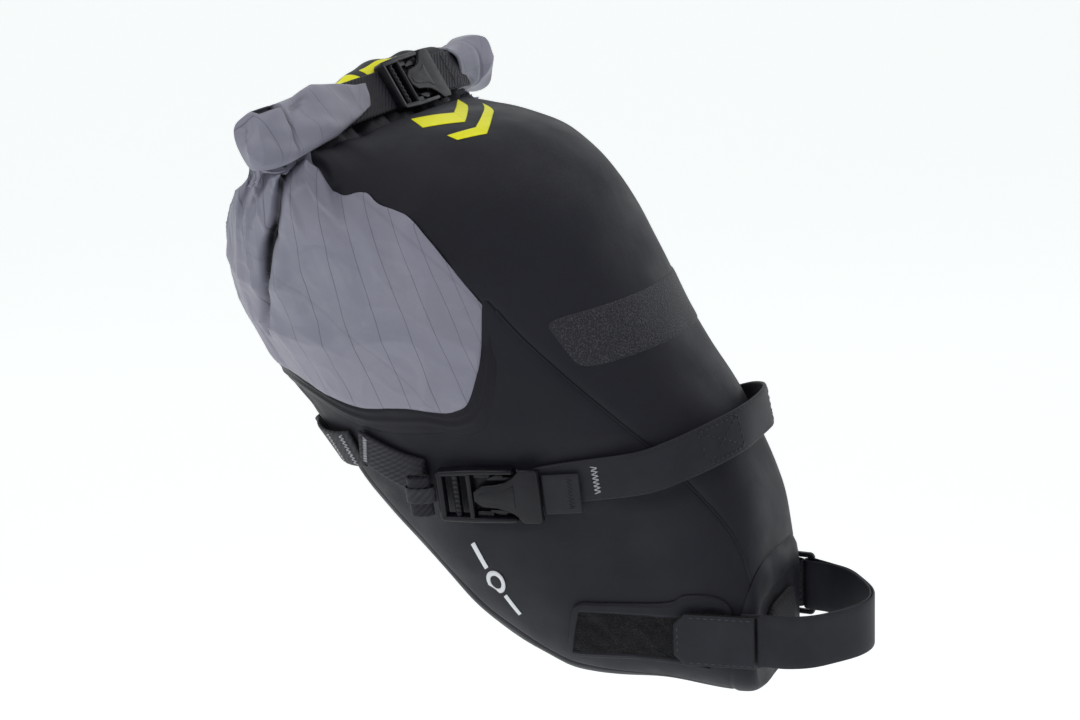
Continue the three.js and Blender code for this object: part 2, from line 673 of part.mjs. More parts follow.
add('waterproof_liner', liner(), LINER);
add('top_panel', fabric(topPanel, 22, 12, AIR, FABRIC), BLACK_FABRIC);
const sideFabric = fabric(sidePanel, 12, 8, AIR, FABRIC);
add('side_panel_right', sideFabric, BLACK_FABRIC);
add('side_panel_left', mirrored(sideFabric), BLACK_FABRIC);
add('base_panel', fabric(basePanel, 14, 8, AIR, FABRIC), BLACK_FABRIC);
add('rear_panel', fabric(rearPanel, 14, 30, AIR, FABRIC), GREY_FABRIC);
add('weld_band', fabric(weldBand, 1, 32, SKIN + AIR, 0.8), BLACK_FABRIC);
add('top_patch', fabric(topPatch, 2, 14, SKIN + AIR, 0.8), PATCH);
add('nose_boot', noseBoot(), BLACK_FABRIC);
add('friction_pad', frictionPad(), RUBBER);

const hooks = fabric(hookPatch, 10, 4, SKIN + SEWN, HOOK_PATCH.thick);
add('hook_patch', hooks, HOOK);
add('post_strap', postStrap(), STRAP);
add('strap_tip_lining', strapTip(0), HOOK);
add('strap_tip_face', strapTip(1), STRAP);
add('strap_ring', strapRing(), PLASTIC);
const ringTab = bodyStrap(RING_TAB.route, SKIN + SEWN, WEBBING.thick, RING_TAB.width);
add('ring_tab', mirrored(ringTab), STRAP);

const sewnWebbing = (route) => bodyStrap(route, SKIN + SEWN, WEBBING.thick, WEBBING.width);
const railSide = sewnWebbing(RAIL_ROUTE.slice(BUCKLE_STOP));
const anchor = sewnWebbing(ANCHOR_ROUTE);
add('rail_strap_span', railSpan(), STRAP);
add('rail_strap_right', railSide, STRAP);
add('rail_strap_left', mirrored(railSide), STRAP);
add('anchor_webbing_right', anchor, STRAP);
add('anchor_webbing_left', mirrored(anchor), STRAP);
const loopHalf = [LOOP_END, RAIL_ROUTE[1]];
const loopOther = loopHalf.map(([station, angle]) => [station, 360 - angle]).reverse();
add('light_loop', sewnWebbing([...loopHalf, RAIL_ROUTE[0], ...loopOther]), STRAP);

const onSide = sideFrame();
addBuckle('right', onSide, false);
addBuckle('left', onSide, true);
const loop = placed(clipLoop(CLIP_LOOP.bend), onSide);
add('right_clip_loop', loop, STRAP);
add('left_clip_loop', mirrored(loop), STRAP);
const bundle = placed(webbingBundle(), onSide);
add('right_webbing_bundle', bundle, STRAP);
add('left_webbing_bundle', mirrored(bundle), STRAP);

const sleeve = (from, to) =>
  rollPiece(from, to, ROLL.radius + AIR, ROLL.radius + AIR + FABRIC);
add('rolled_closure', rollPiece(-ROLL.halfLength, ROLL.halfLength, 0, ROLL.radius), BLACK_FABRIC);
add('roll_flap_right', sleeve(FLAP.nearFrom, FLAP.nearTo), GREY_FABRIC);
add('roll_flap_left', sleeve(FLAP.farFrom, FLAP.farTo), GREY_FABRIC);
add('roll_webbing_right', rollWebbing(FLAP.nearTo + 0.5, ROLL_BUCKLE.y + BUCKLE.tail - 0.5), STRAP);
add('roll_webbing_left', rollWebbing(ROLL_BUCKLE.y + 1, FLAP.farFrom - 0.5), STRAP);
addBuckle('roll', rollFrame(), false);
add('roll_clip_loop', placed(clipLoop(), rollFrame()), STRAP);

export default object;
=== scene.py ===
"""A roll-top bicycle saddle bag, dressed on its CAD frame. Sizes are millimetres in the row frame:
+X points forwards, +Y to the bike's left and +Z up the seatpost, whose axis holds the origin."""

import math

import bmesh
import bpy
import numpy as np
from mathutils import Matrix, Vector


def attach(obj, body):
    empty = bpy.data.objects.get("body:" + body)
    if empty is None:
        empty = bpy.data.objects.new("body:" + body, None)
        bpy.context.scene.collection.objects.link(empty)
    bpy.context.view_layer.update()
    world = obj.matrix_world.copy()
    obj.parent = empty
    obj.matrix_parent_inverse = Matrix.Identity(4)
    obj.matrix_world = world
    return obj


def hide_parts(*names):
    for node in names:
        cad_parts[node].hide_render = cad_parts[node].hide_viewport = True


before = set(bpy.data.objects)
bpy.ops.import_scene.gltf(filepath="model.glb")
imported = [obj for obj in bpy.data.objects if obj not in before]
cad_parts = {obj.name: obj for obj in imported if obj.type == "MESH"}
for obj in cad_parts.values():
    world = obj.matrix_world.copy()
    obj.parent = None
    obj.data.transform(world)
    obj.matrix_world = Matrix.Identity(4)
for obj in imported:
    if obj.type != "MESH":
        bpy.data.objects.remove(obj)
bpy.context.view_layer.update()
MM = 0.001

# ------------------------------------------------------------ driving dimensions

# The stuffed body's stations, nose to roll: belly x and z, top x and z, half width, squareness.
STATIONS = np.array([
    (-22, -23, -22, 10, 26, 3.6),
    (-25, -30, -21, 22, 34, 4.0),
    (-62, -33, -24, 57, 38, 3.3),
    (-104, -34, -37, 88, 45, 2.9),
    (-126, -28, -50, 112, 52, 2.7),
    (-160, -6, -69, 142, 61, 2.5),
    (-200, 33, -85, 173, 70, 2.3),
    (-238, 78, -101, 201, 76, 2.2),
    (-266, 118, -125, 221, 81, 2.2),
    (-278, 158, -157, 229, 88, 2.1),
    (-264, 200, -190, 228, 98, 2.0),
    (-231, 221, -206, 222, 108, 2.0),
], float)
NECK = len(STATIONS) - 1
NOSE_SEAM = 1.25
FABRIC = 1.2
SKIN = 1.9  # height of the fabric's outer face over the body's surface
CREASE = [(1.25, 51), (3, 52), (4.5, 56), (6.75, 64), (8.2, 59), (11, 56)]
GREY_FRONT = [(64, 6.75), (74, 6.34), (82, 6.13), (87.5, 6.06), (91.5, 6.16), (97.5, 6.4), (105, 6.6),
              (115.5, 6.85), (142, 7.7), (180, 7.9)]
# The grey panel's upper edge, as (station, degrees from the top mid-line).
GREY_TOP = [(6.7, 66), (7.05, 66), (7.65, 64.5), (8.1, 63), (8.45, 64.5), (8.75, 63), (8.95, 67.5),
            (9.15, 67), (9.65, 60), (10.45, 51), (11, 49)]
BASE_EDGE = 142
WEBBING = 20
WEBBING_THICK = 1.6
RAIL_ROUTE = [(7.0, 180), (6.92, 152), (6.5, 124), (5.9, 108), (5.08, 90), (4.55, 78), (4.0, 64),
              (3.75, 57)]
SPAN_ROUTE = [(3.95, 62.5, 2.5), (3.6, 50, 3), (3.3, 34, 6), (3.12, 16, 8.5), (3.08, 0, 9.2)]
HOOK_FRONT, HOOK_REAR, HOOK_UPPER, HOOK_LOWER = 1.5, (3.95, 3.6), (82, 104), (112, 131)
PATCH_MIDDLE, PATCH_LEAN, PATCH_HALF, PATCH_EDGE = 5.05, 0.66, 0.37, 54
ROLL_X, ROLL_Z, ROLL_RADIUS, ROLL_HALF = -218, 235, 10, 110
POST_RADIUS = 15.8
NECK_DRAWN = 7.0  # how far the rear fabric is drawn in where it gathers at the neck

# ------------------------------------------------------------ the body's surface


def smooth_table(table, place):
    """Values between a table's rows on a uniform Catmull-Rom curve."""
    rows = len(table)
    padded = np.vstack([2 * table[0] - table[1], table, 2 * table[-1] - table[-2]])
    place = np.clip(place, 0, rows - 1)
    i = np.minimum(place.astype(int), rows - 2)
    f = (place - i)[..., None]
    p0, p1, p2, p3 = (padded[i + k] for k in range(4))
    m1, m2 = (p2 - p0) / 2, (p3 - p1) / 2
    return p1 + f * m1 + f**2 * (3 * p2 - 3 * p1 - 2 * m1 - m2) + f**3 * (2 * p1 - 2 * p2 + m1 + m2)


def through(pairs, place):
    """A smooth curve through (place, value) pairs, level outside them."""
    x, y = np.array(pairs, float).T
    slope = np.gradient(y, x)
    slope[1:-1] = (y[2:] - y[:-2]) / (x[2:] - x[:-2])
    at = np.clip(place, x[0], x[-1])
    i = np.clip(np.searchsorted(x, at, "right") - 1, 0, len(x) - 2)
    span = x[i + 1] - x[i]
    t = (at - x[i]) / span
    bend = t * (1 - t) * span * ((1 - t) * slope[i] - t * slope[i + 1])
    return y[i] + (y[i + 1] - y[i]) * t * t * (3 - 2 * t) + bend


def body(station, angle):
    """Points of the body at stations and degrees from the top mid-line; 90 is the bike's right."""
    station, angle = np.broadcast_arrays(np.asarray(station, float), np.asarray(angle, float))
    row = smooth_table(STATIONS, station)
    turn = np.radians(angle)
    power = 2 / row[..., 5]
    up = np.sign(np.cos(turn)) * np.abs(np.cos(turn)) ** power
    side = np.sign(np.sin(turn)) * np.abs(np.sin(turn)) ** power
    mix = (up + 1) / 2
    x = row[..., 0] + (row[..., 2] - row[..., 0]) * mix
    z = row[..., 1] + (row[..., 3] - row[..., 1]) * mix
    return np.stack([x, -side * row[..., 4], z], -1)


def ease(t):
    t = np.clip(t, 0, 1)
    return t * t * (3 - 2 * t)


def unit(v):
    return v / np.maximum(np.linalg.norm(v, axis=-1, keepdims=True), 1e-9)


def outward(station, angle):
    station, angle = np.broadcast_arrays(np.asarray(station, float), np.asarray(angle, float))
    along = body(np.minimum(station + 0.05, NECK), angle) - body(np.maximum(station - 0.05, 0), angle)
    around = body(station, angle + 1.5) - body(station, angle - 1.5)
    return unit(np.cross(along, around))


def on_body(station, angle, height):
    return body(station, angle) + outward(station, angle) * np.asarray(height, float)[..., None]


def folded(angle):
    """The angle's mirror image on the bike's right side, from 0 to 180."""
    angle = np.abs((np.asarray(angle, float) + 180) % 360 - 180)
    return angle


def waves(points, size, seed, count=26):
    """A smooth field from about -1 to 1 that changes over the given size."""
    rng = np.random.default_rng(seed)
    ways = unit(rng.normal(size=(count, 3))) * (2 * math.pi / size) * rng.uniform(0.6, 1.5, (count, 1))
    phases = rng.uniform(0, 2 * math.pi, count)
    return np.cos(points @ ways.T + phases).sum(-1) / math.sqrt(count / 2)


def chord_path(points, count):
    """Evenly spaced points on a centripetal Catmull-Rom curve through the given ones."""
    p = np.array(points, float)
    p = np.vstack([2 * p[0] - p[1], p, 2 * p[-1] - p[-2]])
    fine = []
    for a, b, c, d in zip(p[:-3], p[1:-2], p[2:-1], p[3:]):
        t1 = np.linalg.norm(b - a) ** 0.5 + 1e-6
        t2 = np.linalg.norm(c - b) ** 0.5 + 1e-6
        t3 = np.linalg.norm(d - c) ** 0.5 + 1e-6
        m1 = ((b - a) / t1 - (c - a) / (t1 + t2) + (c - b) / t2) * t2
        m2 = ((c - b) / t2 - (d - b) / (t2 + t3) + (d - c) / t3) * t2
        f = np.linspace(0, 1, 40, endpoint=False)[:, None]
        cube = 2 * b - 2 * c + m1 + m2
        square = 3 * c - 3 * b - 2 * m1 - m2
        fine.append(b + f * m1 + f**2 * square + f**3 * cube)
    fine = np.vstack([*fine, p[-2:-1]])
    length = np.concatenate([[0], np.cumsum(np.linalg.norm(np.diff(fine, axis=0), axis=1))])
    at = np.linspace(0, length[-1], count)
    return np.stack([np.interp(at, length, fine[:, k]) for k in range(fine.shape[1])], -1)


def route_places(route, count):
    """Evenly spaced (station, angle) places along a route on the body."""
    scaled = [(s * 40, a * 1.0) for s, a in route]
    places = chord_path([(*p, 0) for p in scaled], count)
    return places[:, 0] / 40, places[:, 1]


# ------------------------------------------------------------ relief of the stuffed fabric

# Folds gathered into the roll: (station, degrees) routes with depth and width, on both sides.
MAIN_FOLD = ([(10.9, 54), (10.25, 60), (9.85, 72), (9.5, 82.5), (9.1, 93), (8.85, 102), (8.35, 117),
              (8.05, 128)], 7.0, 2.1)
FOLDS = [
    MAIN_FOLD,
    ([(9.0, 96), (8.8, 103), (8.45, 114), (8.2, 124)], 2.6, 3.4),
    ([(10.9, 74), (10.5, 82), (10.1, 91), (9.75, 101), (9.4, 111)], 6.5, 1.6),
    ([(10.9, 62), (10.35, 72), (9.95, 83), (9.6, 94), (9.3, 103)], 6.5, 1.5),
    ([(10.9, 92), (10.5, 104), (10.1, 115), (9.6, 125)], 3.6, 1.9),
    ([(10.9, 110), (10.5, 122), (10.0, 134), (9.3, 144)], 3.6, 2.2),
    ([(10.9, 130), (10.4, 143), (9.7, 155)], 3.6, 2.5),
    ([(10.9, 150), (10.3, 162), (9.5, 172)], 3.6, 2.6),
    ([(10.2, 57), (9.65, 59.5), (9.2, 66), (8.95, 70), (8.6, 75)], 4.0, 1.8),
    ([(9.1, 66), (8.9, 69), (8.6, 74)], 1.6, 2.2),
    ([(10.6, 40), (10.0, 44), (9.3, 52), (8.7, 57)], 1.6, 5.0),
    ([(10.9, 22), (10.4, 26), (9.9, 34)], 1.6, 4.0),
]
RIDGES = [
    ([(10.3, 55), (10.0, 61), (9.6, 72), (9.23, 82.5), (8.84, 93), (8.56, 102), (8.1, 116)], 2.4, 4.2),
    ([(10.2, 76), (9.9, 86), (9.5, 96), (9.15, 106), (8.75, 118)], 1.8, 7.0),
    ([(9.9, 62), (9.45, 70), (9.0, 79), (8.5, 88)], 2.2, 7.0),
    ([(8.9, 66), (8.65, 69), (8.2, 75), (7.6, 82)], 1.6, 5.0),
    ([(8.1, 62), (7.9, 68), (7.5, 76)], 1.0, 5.0),
    ([(7.9, 118), (7.6, 108), (7.35, 98)], 1.0, 6.0),
    ([(8.4, 128), (7.9, 123), (7.3, 112)], 1.2, 5.0),
    ([(8.9, 104), (8.2, 108), (7.4, 108), (6.9, 104)], 1.0, 7.0),
]


def line_distance(points, route, count=90):
    """Distance of each point to a route on the body, and how far along the route, from 0 to 1."""
    s, a = route_places(route, count)
    line = body(s, a)
    flat = points.reshape(-1, 3)
    best = np.full(len(flat), 1e9)
    along = np.zeros(len(flat))
    for i, p in enumerate(line):
        d = ((flat - p) ** 2).sum(1)
        closer = d < best
        best[closer] = d[closer]
        along[closer] = i / (count - 1)
    return np.sqrt(best).reshape(points.shape[:-1]), along.reshape(points.shape[:-1])


def relief(station, angle, crisp=0.0):
    """Height of the stuffed fabric over its plain surface. crisp adds sharp small wrinkles."""
    turn = folded(angle)
    right = body(station, turn)
    here = body(station, angle)
    height = 0.5 * waves(here, 80, 3) + 0.12 * waves(here, 34, 5)
    if crisp:
        half = smooth_table(STATIONS, station)[..., 4]
        drawn = np.stack([np.radians(angle) * half, station * 11, 0 * half], -1)
        gather = np.clip((station - 7.4) / 2.6, 0, 1)
        wrinkles = ((here, 60, 0.9, 9), (drawn, 19, 1.1 * gather, 10), (drawn, 11, 0.3 * gather, 12),
                    (here, 24, 0.16, 11))
        for place, size, tall, seed in wrinkles:
            sharp = np.clip(1 - np.abs(waves(place, size, seed)) * 2.0, -0.6, 1)
            height = height + crisp * tall * sharp
    for route, depth, width in FOLDS:
        d, along = line_distance(right, route)
        fade = np.clip(1.02 - along, 0, 1) ** (0.3 if route is MAIN_FOLD[0] else 0.7)
        height = height - depth * fade * np.exp(-((d / width) ** 3))
    for route, rise, width in RIDGES:
        d, along = line_distance(right, route)
        fade = np.sin(np.clip(along * 0.9 + 0.12, 0, 1) * math.pi) ** 0.7
        fade = fade * (1 - 0.6 * ease((station - 10.2) / 0.6))
        height = height + rise * fade * np.exp(-((d / width) ** 2))
    return height


def pressed(station, angle, height, route, half, depth):
    """The height with a strap's bed pressed into it along a route."""
    d = line_distance(body(station, folded(angle)), route)[0]
    t = np.clip((d - half) / 9, 0, 1)
    t = t * t * (3 - 2 * t)
    return height * t - depth * (1 - t)


def seamed(distance, height, depth=1.1, reach=4.0):
    """The height drawn in towards a seam, given each point's distance from it in millimetres."""
    t = np.clip(distance / reach, 0, 1)
    t = t * (2 - t)
    return height * (0.35 + 0.65 * t) - depth * (1 - t)


# ------------------------------------------------------------ mesh making


def make(name, points, faces, material, uv=None, smooth=True, body_name="root", slot=None, replaces=()):
    """A mesh object from millimetre points, riding on a CAD body. uv holds one pair per point, in metres."""
    mesh = bpy.data.meshes.new(name)
    mesh.from_pydata((np.asarray(points, float) * MM).tolist(), [], [list(f) for f in faces])
    if uv is not None:
        layer = mesh.uv_layers.new(name="UVMap")
        at = np.zeros(len(mesh.loops), int)
        mesh.loops.foreach_get("vertex_index", at)
        layer.data.foreach_set("uv", (np.asarray(uv, float)[at]).ravel())
    mesh.materials.append(material)
    solid = bmesh.new()
    solid.from_mesh(mesh)
    bmesh.ops.recalc_face_normals(solid, faces=solid.faces)
    solid.to_mesh(mesh)
    solid.free()
    if smooth:
        mesh.shade_smooth()
    obj = bpy.data.objects.new(name, mesh)
    bpy.context.scene.collection.objects.link(obj)
    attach(obj, body_name)
    if replaces:
        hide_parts(*replaces)
    return obj


def grid_faces(rows, columns, start=0, wrap=False, flip=False):
    """Quads of a grid of points stored row by row."""
    r, c = np.meshgrid(np.arange(rows - 1), np.arange(columns if wrap else columns - 1), indexing="ij")
    a = start + r * columns + c
    b = start + r * columns + (c + 1) % columns
    quads = np.stack([a, b, b + columns, a + columns], -1).reshape(-1, 4)
    return (quads[:, ::-1] if flip else quads).tolist()


def layer_faces(rows, columns):
    """Faces of a closed sheet made of an outer and an inner grid, joined round their rims."""
    n = rows * columns
    faces = grid_faces(rows, columns) + grid_faces(rows, columns, n, flip=True)
    loop = border(rows, columns)
    for i, k in enumerate(loop):
        j = loop[(i + 1) % len(loop)]
        faces.append((j, k, n + k, n + j))
    return faces


def tube_faces(rows, columns):
    """Faces of a tube whose last column lies on its first, with a flat cap at each end."""
    last = (rows - 1) * columns
    caps = [list(range(columns - 1))[::-1], [last + k for k in range(columns - 1)]]
    return grid_faces(rows, columns) + caps


def set_painted_fold_shade(obj, values):
    """Painted fold shade: how deep in a fold each point lies, from 0 to 1, for the materials to darken as
    painted shade.
    """
    shade = obj.data.attributes.new("painted_fold_shade", "FLOAT", "POINT")
    shade.data.foreach_set("value", np.asarray(values, np.float32))


def arc_uv(points):
    """Unrolled coordinates of a grid of points, in metres, along its rows and columns."""
    rows, columns = points.shape[:2]
    down = np.linalg.norm(np.diff(points, axis=0), axis=2)
    across = np.linalg.norm(np.diff(points, axis=1), axis=2)
    middle = columns // 2
    v = np.concatenate([[0], np.cumsum(down[:, middle])])[:, None] * np.ones((1, columns))
    u = np.concatenate([np.zeros((rows, 1)), np.cumsum(across, axis=1)], 1)
    u = u - u[:, middle : middle + 1]
    return np.stack([u, v], -1) * MM


def sheet_mesh(name, station, angle, height, material, thickness=FABRIC, uv=None, lowered=0.0, **keys):
    """A panel with a rounded rim: outer points at the given heights over the body, and a back face."""
    # Painted fold shade: points lying deeper than the fabric's skin are marked for the material to darken.
    painted_fold_shade = np.clip((SKIN - height) / 2.4 - 0.7, 0, 1).ravel()
    height = height - lowered
    out = outward(station, angle)
    base = body(station, angle)
    outer = base + out * height[..., None]
    rim_in = 0.28 * thickness
    middle = 0.5 * (outer + base + out * (height - thickness)[..., None])
    inner = base + out * (height - thickness)[..., None]
    rows, columns = station.shape
    edge = np.zeros((rows, columns), bool)
    edge[[0, -1], :] = True
    edge[:, [0, -1]] = True
    outer[edge] = outer[edge] - out[edge] * rim_in
    inner[edge] = inner[edge] + out[edge] * rim_in
    n = rows * columns
    loop = border(rows, columns)
    grown = middle.reshape(-1, 3)[loop]
    points = np.vstack([outer.reshape(-1, 3), inner.reshape(-1, 3), grown + rim_push(middle, loop) * rim_in])
    faces = grid_faces(rows, columns) + grid_faces(rows, columns, n, flip=True)
    count = len(loop)
    for i in range(count):
        j = (i + 1) % count
        faces.append((loop[j], loop[i], 2 * n + i, 2 * n + j))
        faces.append((2 * n + j, 2 * n + i, n + loop[i], n + loop[j]))
    flat = arc_uv(base) if uv is None else uv
    flat = flat.reshape(-1, 2)
    obj = make(name, points, faces, material, np.vstack([flat, flat, flat[loop]]), **keys)
    set_painted_fold_shade(obj, np.concatenate([painted_fold_shade, painted_fold_shade, painted_fold_shade[loop]]))
    return obj


def border(rows, columns):
    """Indices of a grid's edge points, in order round it."""
    top = list(range(columns))
    right = [r * columns + columns - 1 for r in range(1, rows)]
    low = [(rows - 1) * columns + c for c in range(columns - 2, -1, -1)]
    left = [r * columns for r in range(rows - 2, 0, -1)]
    return top + right + low + left


def rim_push(middle, loop):
    """Unit vectors that look away from a grid at each point of its edge."""
    rows, columns = middle.shape[:2]
    flat = middle.reshape(-1, 3)
    inside = []
    for k in loop:
        r, c = divmod(k, columns)
        r = min(max(r, 1), rows - 2) if rows > 2 else r
        c = min(max(c, 1), columns - 2) if columns > 2 else c
        inside.append(r * columns + c)
    return unit(flat[loop] - flat[inside])


def strap(name, points, faces_out, width, thick, material, sides=5, sag=0.0, **keys):
    """Webbing with rounded edges along points, the middle of its lower face.

    Returns its object, a function that finds a place on its outer face, and its length."""
    points = np.asarray(points, float)
    along = unit(np.gradient(points, axis=0))
    across = unit(np.cross(along, faces_out))
    out = np.cross(across, along)
    width = np.broadcast_to(width, len(points)).astype(float)
    turn = np.linspace(-math.pi / 2, math.pi / 2, sides)
    round_out = np.cos(turn) * thick / 2
    round_up = (np.sin(turn) + 1) * thick / 2
    half = width[:, None] / 2 - thick / 2
    flats = np.linspace(-1, 1, 9)[1:-1]
    section_x = np.concatenate([
        half + round_out, (half * flats[::-1]), -half - round_out[::-1], (half * flats)], 1)
    top = thick + sag * (1 - flats[::-1] ** 2)
    section_y = np.concatenate([round_up, top, round_up[::-1], np.zeros(len(flats))])
    ring = (points[:, None] + across[:, None] * section_x[..., None]
            + out[:, None] * section_y[None, :, None])
    length = np.concatenate([[0], np.cumsum(np.linalg.norm(np.diff(points, axis=0), axis=1))])
    count = section_x.shape[1]
    uv = np.stack([np.broadcast_to(length[:, None], section_x.shape), section_x], -1) * MM
    rows = len(points)
    solid = ring.reshape(-1, 3)
    quads = grid_faces(rows, count, wrap=True, flip=True)
    quads.append(list(range(count)))
    quads.append([(rows - 1) * count + k for k in range(count)][::-1])
    obj = make(name, solid, quads, material, uv.reshape(-1, 2), **keys)

    def place(u, v, lift=0.0):
        """The point u along the strap and v across it, lift above its outer face."""
        at = np.stack([np.interp(u, length, points[:, k]) for k in range(3)], -1)
        side = unit(np.stack([np.interp(u, length, across[:, k]) for k in range(3)], -1))
        face = unit(np.stack([np.interp(u, length, out[:, k]) for k in range(3)], -1))
        return at + side * np.asarray(v)[..., None] + face * (thick + np.asarray(lift))[..., None]

    return obj, place, length[-1]


def tubes(name, lines, radius, material, sides=6, **keys):
    """Round threads along several lines, joined as one piece."""
    points, faces, uv = [], [], []
    for line in lines:
        line = np.asarray(line, float)
        along = unit(np.gradient(line, axis=0))
        helper = np.where(np.abs(along[:, 2:3]) < 0.9, [[0, 0, 1.0]], [[1.0, 0, 0]])
        a = unit(np.cross(along, helper))
        b = np.cross(along, a)
        turn = np.linspace(0, 2 * math.pi, sides, endpoint=False)
        fat = radius * np.ones(len(line))
        fat[[0, -1]] *= 0.45
        ring = line[:, None] + fat[:, None, None] * (
            a[:, None] * np.cos(turn)[None, :, None] + b[:, None] * np.sin(turn)[None, :, None])
        start = sum(len(p) for p in points)
        points.append(ring.reshape(-1, 3))
        uv.append(np.stack(np.meshgrid(np.arange(len(line)), turn, indexing="ij"), -1).reshape(-1, 2) * MM)
        faces += grid_faces(len(line), sides, start, wrap=True)
        faces.append([start + k for k in range(sides)][::-1])
        faces.append([start + (len(line) - 1) * sides + k for k in range(sides)])
    return make(name, np.vstack(points), faces, material, np.vstack(uv), **keys)


# ------------------------------------------------------------ materials


class Surface:
    """A material's node tree, built up from small layers."""

    def __init__(self, name, colour, roughness, sheen=0.0, shine=0.3):
        self.material = bpy.data.materials.new(name)
        self.material.use_nodes = True
        self.tree = self.material.node_tree
        self.shader = self.tree.nodes["Principled BSDF"]
        self.shader.inputs["Base Color"].default_value = (*colour, 1)
        self.shader.inputs["Roughness"].default_value = roughness
        self.shader.inputs["Sheen Weight"].default_value = sheen
        self.shader.inputs["Sheen Roughness"].default_value = 0.45
        self.shader.inputs["Specular IOR Level"].default_value = shine
        self.colour = None
        self.base = colour
        self.bump = None

    def node(self, kind, **values):
        made = self.tree.nodes.new(kind)
        for key, value in values.items():
            setattr(made, key, value)
        return made

    def link(self, a, b):
        self.tree.links.new(a, b)

    def space(self, kind, scale=(1, 1, 1), turn=(0, 0, 0)):
        """UV or Object coordinates, scaled to repeats per metre."""
        coordinate = self.node("ShaderNodeTexCoord")
        mapping = self.node("ShaderNodeMapping")
        mapping.inputs["Scale"].default_value = scale
        mapping.inputs["Rotation"].default_value = turn
        self.link(coordinate.outputs[kind], mapping.inputs["Vector"])
        return mapping.outputs["Vector"]

    def noise(self, size, detail=3.0, kind="Object", stretch=(1, 1, 1), rough=0.55):
        made = self.node("ShaderNodeTexNoise")
        made.inputs["Scale"].default_value = 1 / (size * MM)
        made.inputs["Detail"].default_value = detail
        made.inputs["Roughness"].default_value = rough
        self.link(self.space(kind, stretch), made.inputs["Vector"])
        return made.outputs["Fac"]

    def lines(self, pitch, axis="X", kind="UV", turn=0.0, distortion=0.0):
        """Even ridges with the given pitch in millimetres."""
        made = self.node("ShaderNodeTexWave", wave_type="BANDS", bands_direction=axis)
        made.inputs["Scale"].default_value = math.pi / 10 / (pitch * MM)
        made.inputs["Distortion"].default_value = distortion
        self.link(self.space(kind, turn=(0, 0, turn)), made.inputs["Vector"])
        return made.outputs["Fac"]

    def maths(self, operation, a, b=None, c=None):
        made = self.node("ShaderNodeMath", operation=operation)
        for socket, value in zip(made.inputs, (a, b, c)):
            if value is None:
                continue
            if isinstance(value, (int, float)):
                socket.default_value = value
            else:
                self.link(value, socket)
        return made.outputs[0]

    def ramp(self, value, low, high, to_low=0.0, to_high=1.0):
        made = self.node("ShaderNodeMapRange")
        for key, number in (("From Min", low), ("From Max", high), ("To Min", to_low), ("To Max", to_high)):
            made.inputs[key].default_value = number
        self.link(value, made.inputs["Value"])
        return made.outputs["Result"]

    def tint(self, factor, colour):
        """Mixes another colour in where the factor is high."""
        made = self.node("ShaderNodeMix", data_type="RGBA")
        self.link(factor, made.inputs["Factor"])
        if self.colour is None:
            made.inputs["A"].default_value = (*self.base, 1)
            made.inputs[6].default_value = (*self.base, 1)
        else:
            self.link(self.colour, made.inputs[6])
        made.inputs[7].default_value = (*colour, 1)
        self.colour = made.outputs[2]
        self.link(self.colour, self.shader.inputs["Base Color"])
        return self

    def raise_by(self, height, distance, strength=1.0):
        """Bumps the surface by a height from 0 to 1 times a distance in millimetres."""
        made = self.node("ShaderNodeBump")
        made.inputs["Strength"].default_value = strength
        made.inputs["Distance"].default_value = distance * MM
        self.link(height, made.inputs["Height"])
        if self.bump is not None:
            self.link(self.bump, made.inputs["Normal"])
        self.bump = made.outputs["Normal"]
        self.link(self.bump, self.shader.inputs["Normal"])
        return self

    def roughen(self, factor, low, high):
        self.link(self.ramp(factor, 0.3, 0.7, low, high), self.shader.inputs["Roughness"])
        return self


def weave(surface, pitch, depth):
    """A plain weave of threads on the piece's UVs."""
    warp = surface.lines(pitch, "X")
    weft = surface.lines(pitch, "Y")
    return surface.raise_by(surface.maths("MULTIPLY", warp, weft), depth)


def black_laminate(name="black_laminate", colour=(0.0088, 0.009, 0.0145), roughness=0.56):
    made = Surface(name, colour, roughness, sheen=0.02, shine=0.26)
    made.tint(made.ramp(made.noise(60, 3), 0.35, 0.7), tuple(1.3 * c for c in colour))
    made.tint(made.ramp(made.noise(3, 4), 0.62, 0.8, 0, 0.35), tuple(2.2 * c for c in colour))
    made.roughen(made.noise(24, 3), roughness - 0.08, roughness + 0.08)
    made.raise_by(made.noise(9, 4), 0.35, 0.5)
    return weave(made, 0.55, 0.05)


def grey_laminate():
    made = Surface("grey_laminate", (0.235, 0.237, 0.298), 0.42, sheen=0.08, shine=0.4)
    made.tint(made.ramp(made.noise(85, 2), 0.38, 0.66), (0.262, 0.25, 0.318))
    made.tint(made.ramp(made.noise(6, 4), 0.55, 0.75, 0, 0.5), (0.275, 0.277, 0.34))
    for pitch, turn, dark in ((14.5, -0.19, 0.7), (47, 0.7, 0.15)):
        wave = made.lines(pitch, "X", turn=turn)
        thread = made.ramp(wave, 0.9965, 0.9992, 0, dark)
        made.tint(thread, (0.115, 0.115, 0.15))
        made.raise_by(thread, 0.2, 0.7)
    # Painted shade: the grey darkens to near black where the fold shade attribute is high, deep in folds.
    painted_fold_shade = made.node("ShaderNodeAttribute", attribute_name="painted_fold_shade")
    made.tint(painted_fold_shade.outputs["Fac"], (0.012, 0.012, 0.016))
    made.roughen(made.noise(30, 3), 0.36, 0.5)
    made.raise_by(made.noise(7, 4), 0.3, 0.5)
    return weave(made, 0.5, 0.04)


def ribbed_webbing(name, colour, pitch=1.5, depth=0.3):
    made = Surface(name, colour, 0.62, sheen=0.05)
    twill_a = made.lines(pitch, "DIAGONAL")
    twill_b = made.lines(pitch * 2.4, "Y")
    made.tint(made.ramp(twill_a, 0.45, 1.0, 0, 0.65), tuple(1.9 * c for c in colour))
    made.tint(made.ramp(made.noise(2.2, 3), 0.55, 0.8, 0, 0.6), tuple(2.3 * c for c in colour))
    made.raise_by(twill_a, depth, 0.9)
    made.raise_by(twill_b, depth * 0.5, 0.6)
    return made.raise_by(made.noise(0.9, 2), 0.1, 0.5)


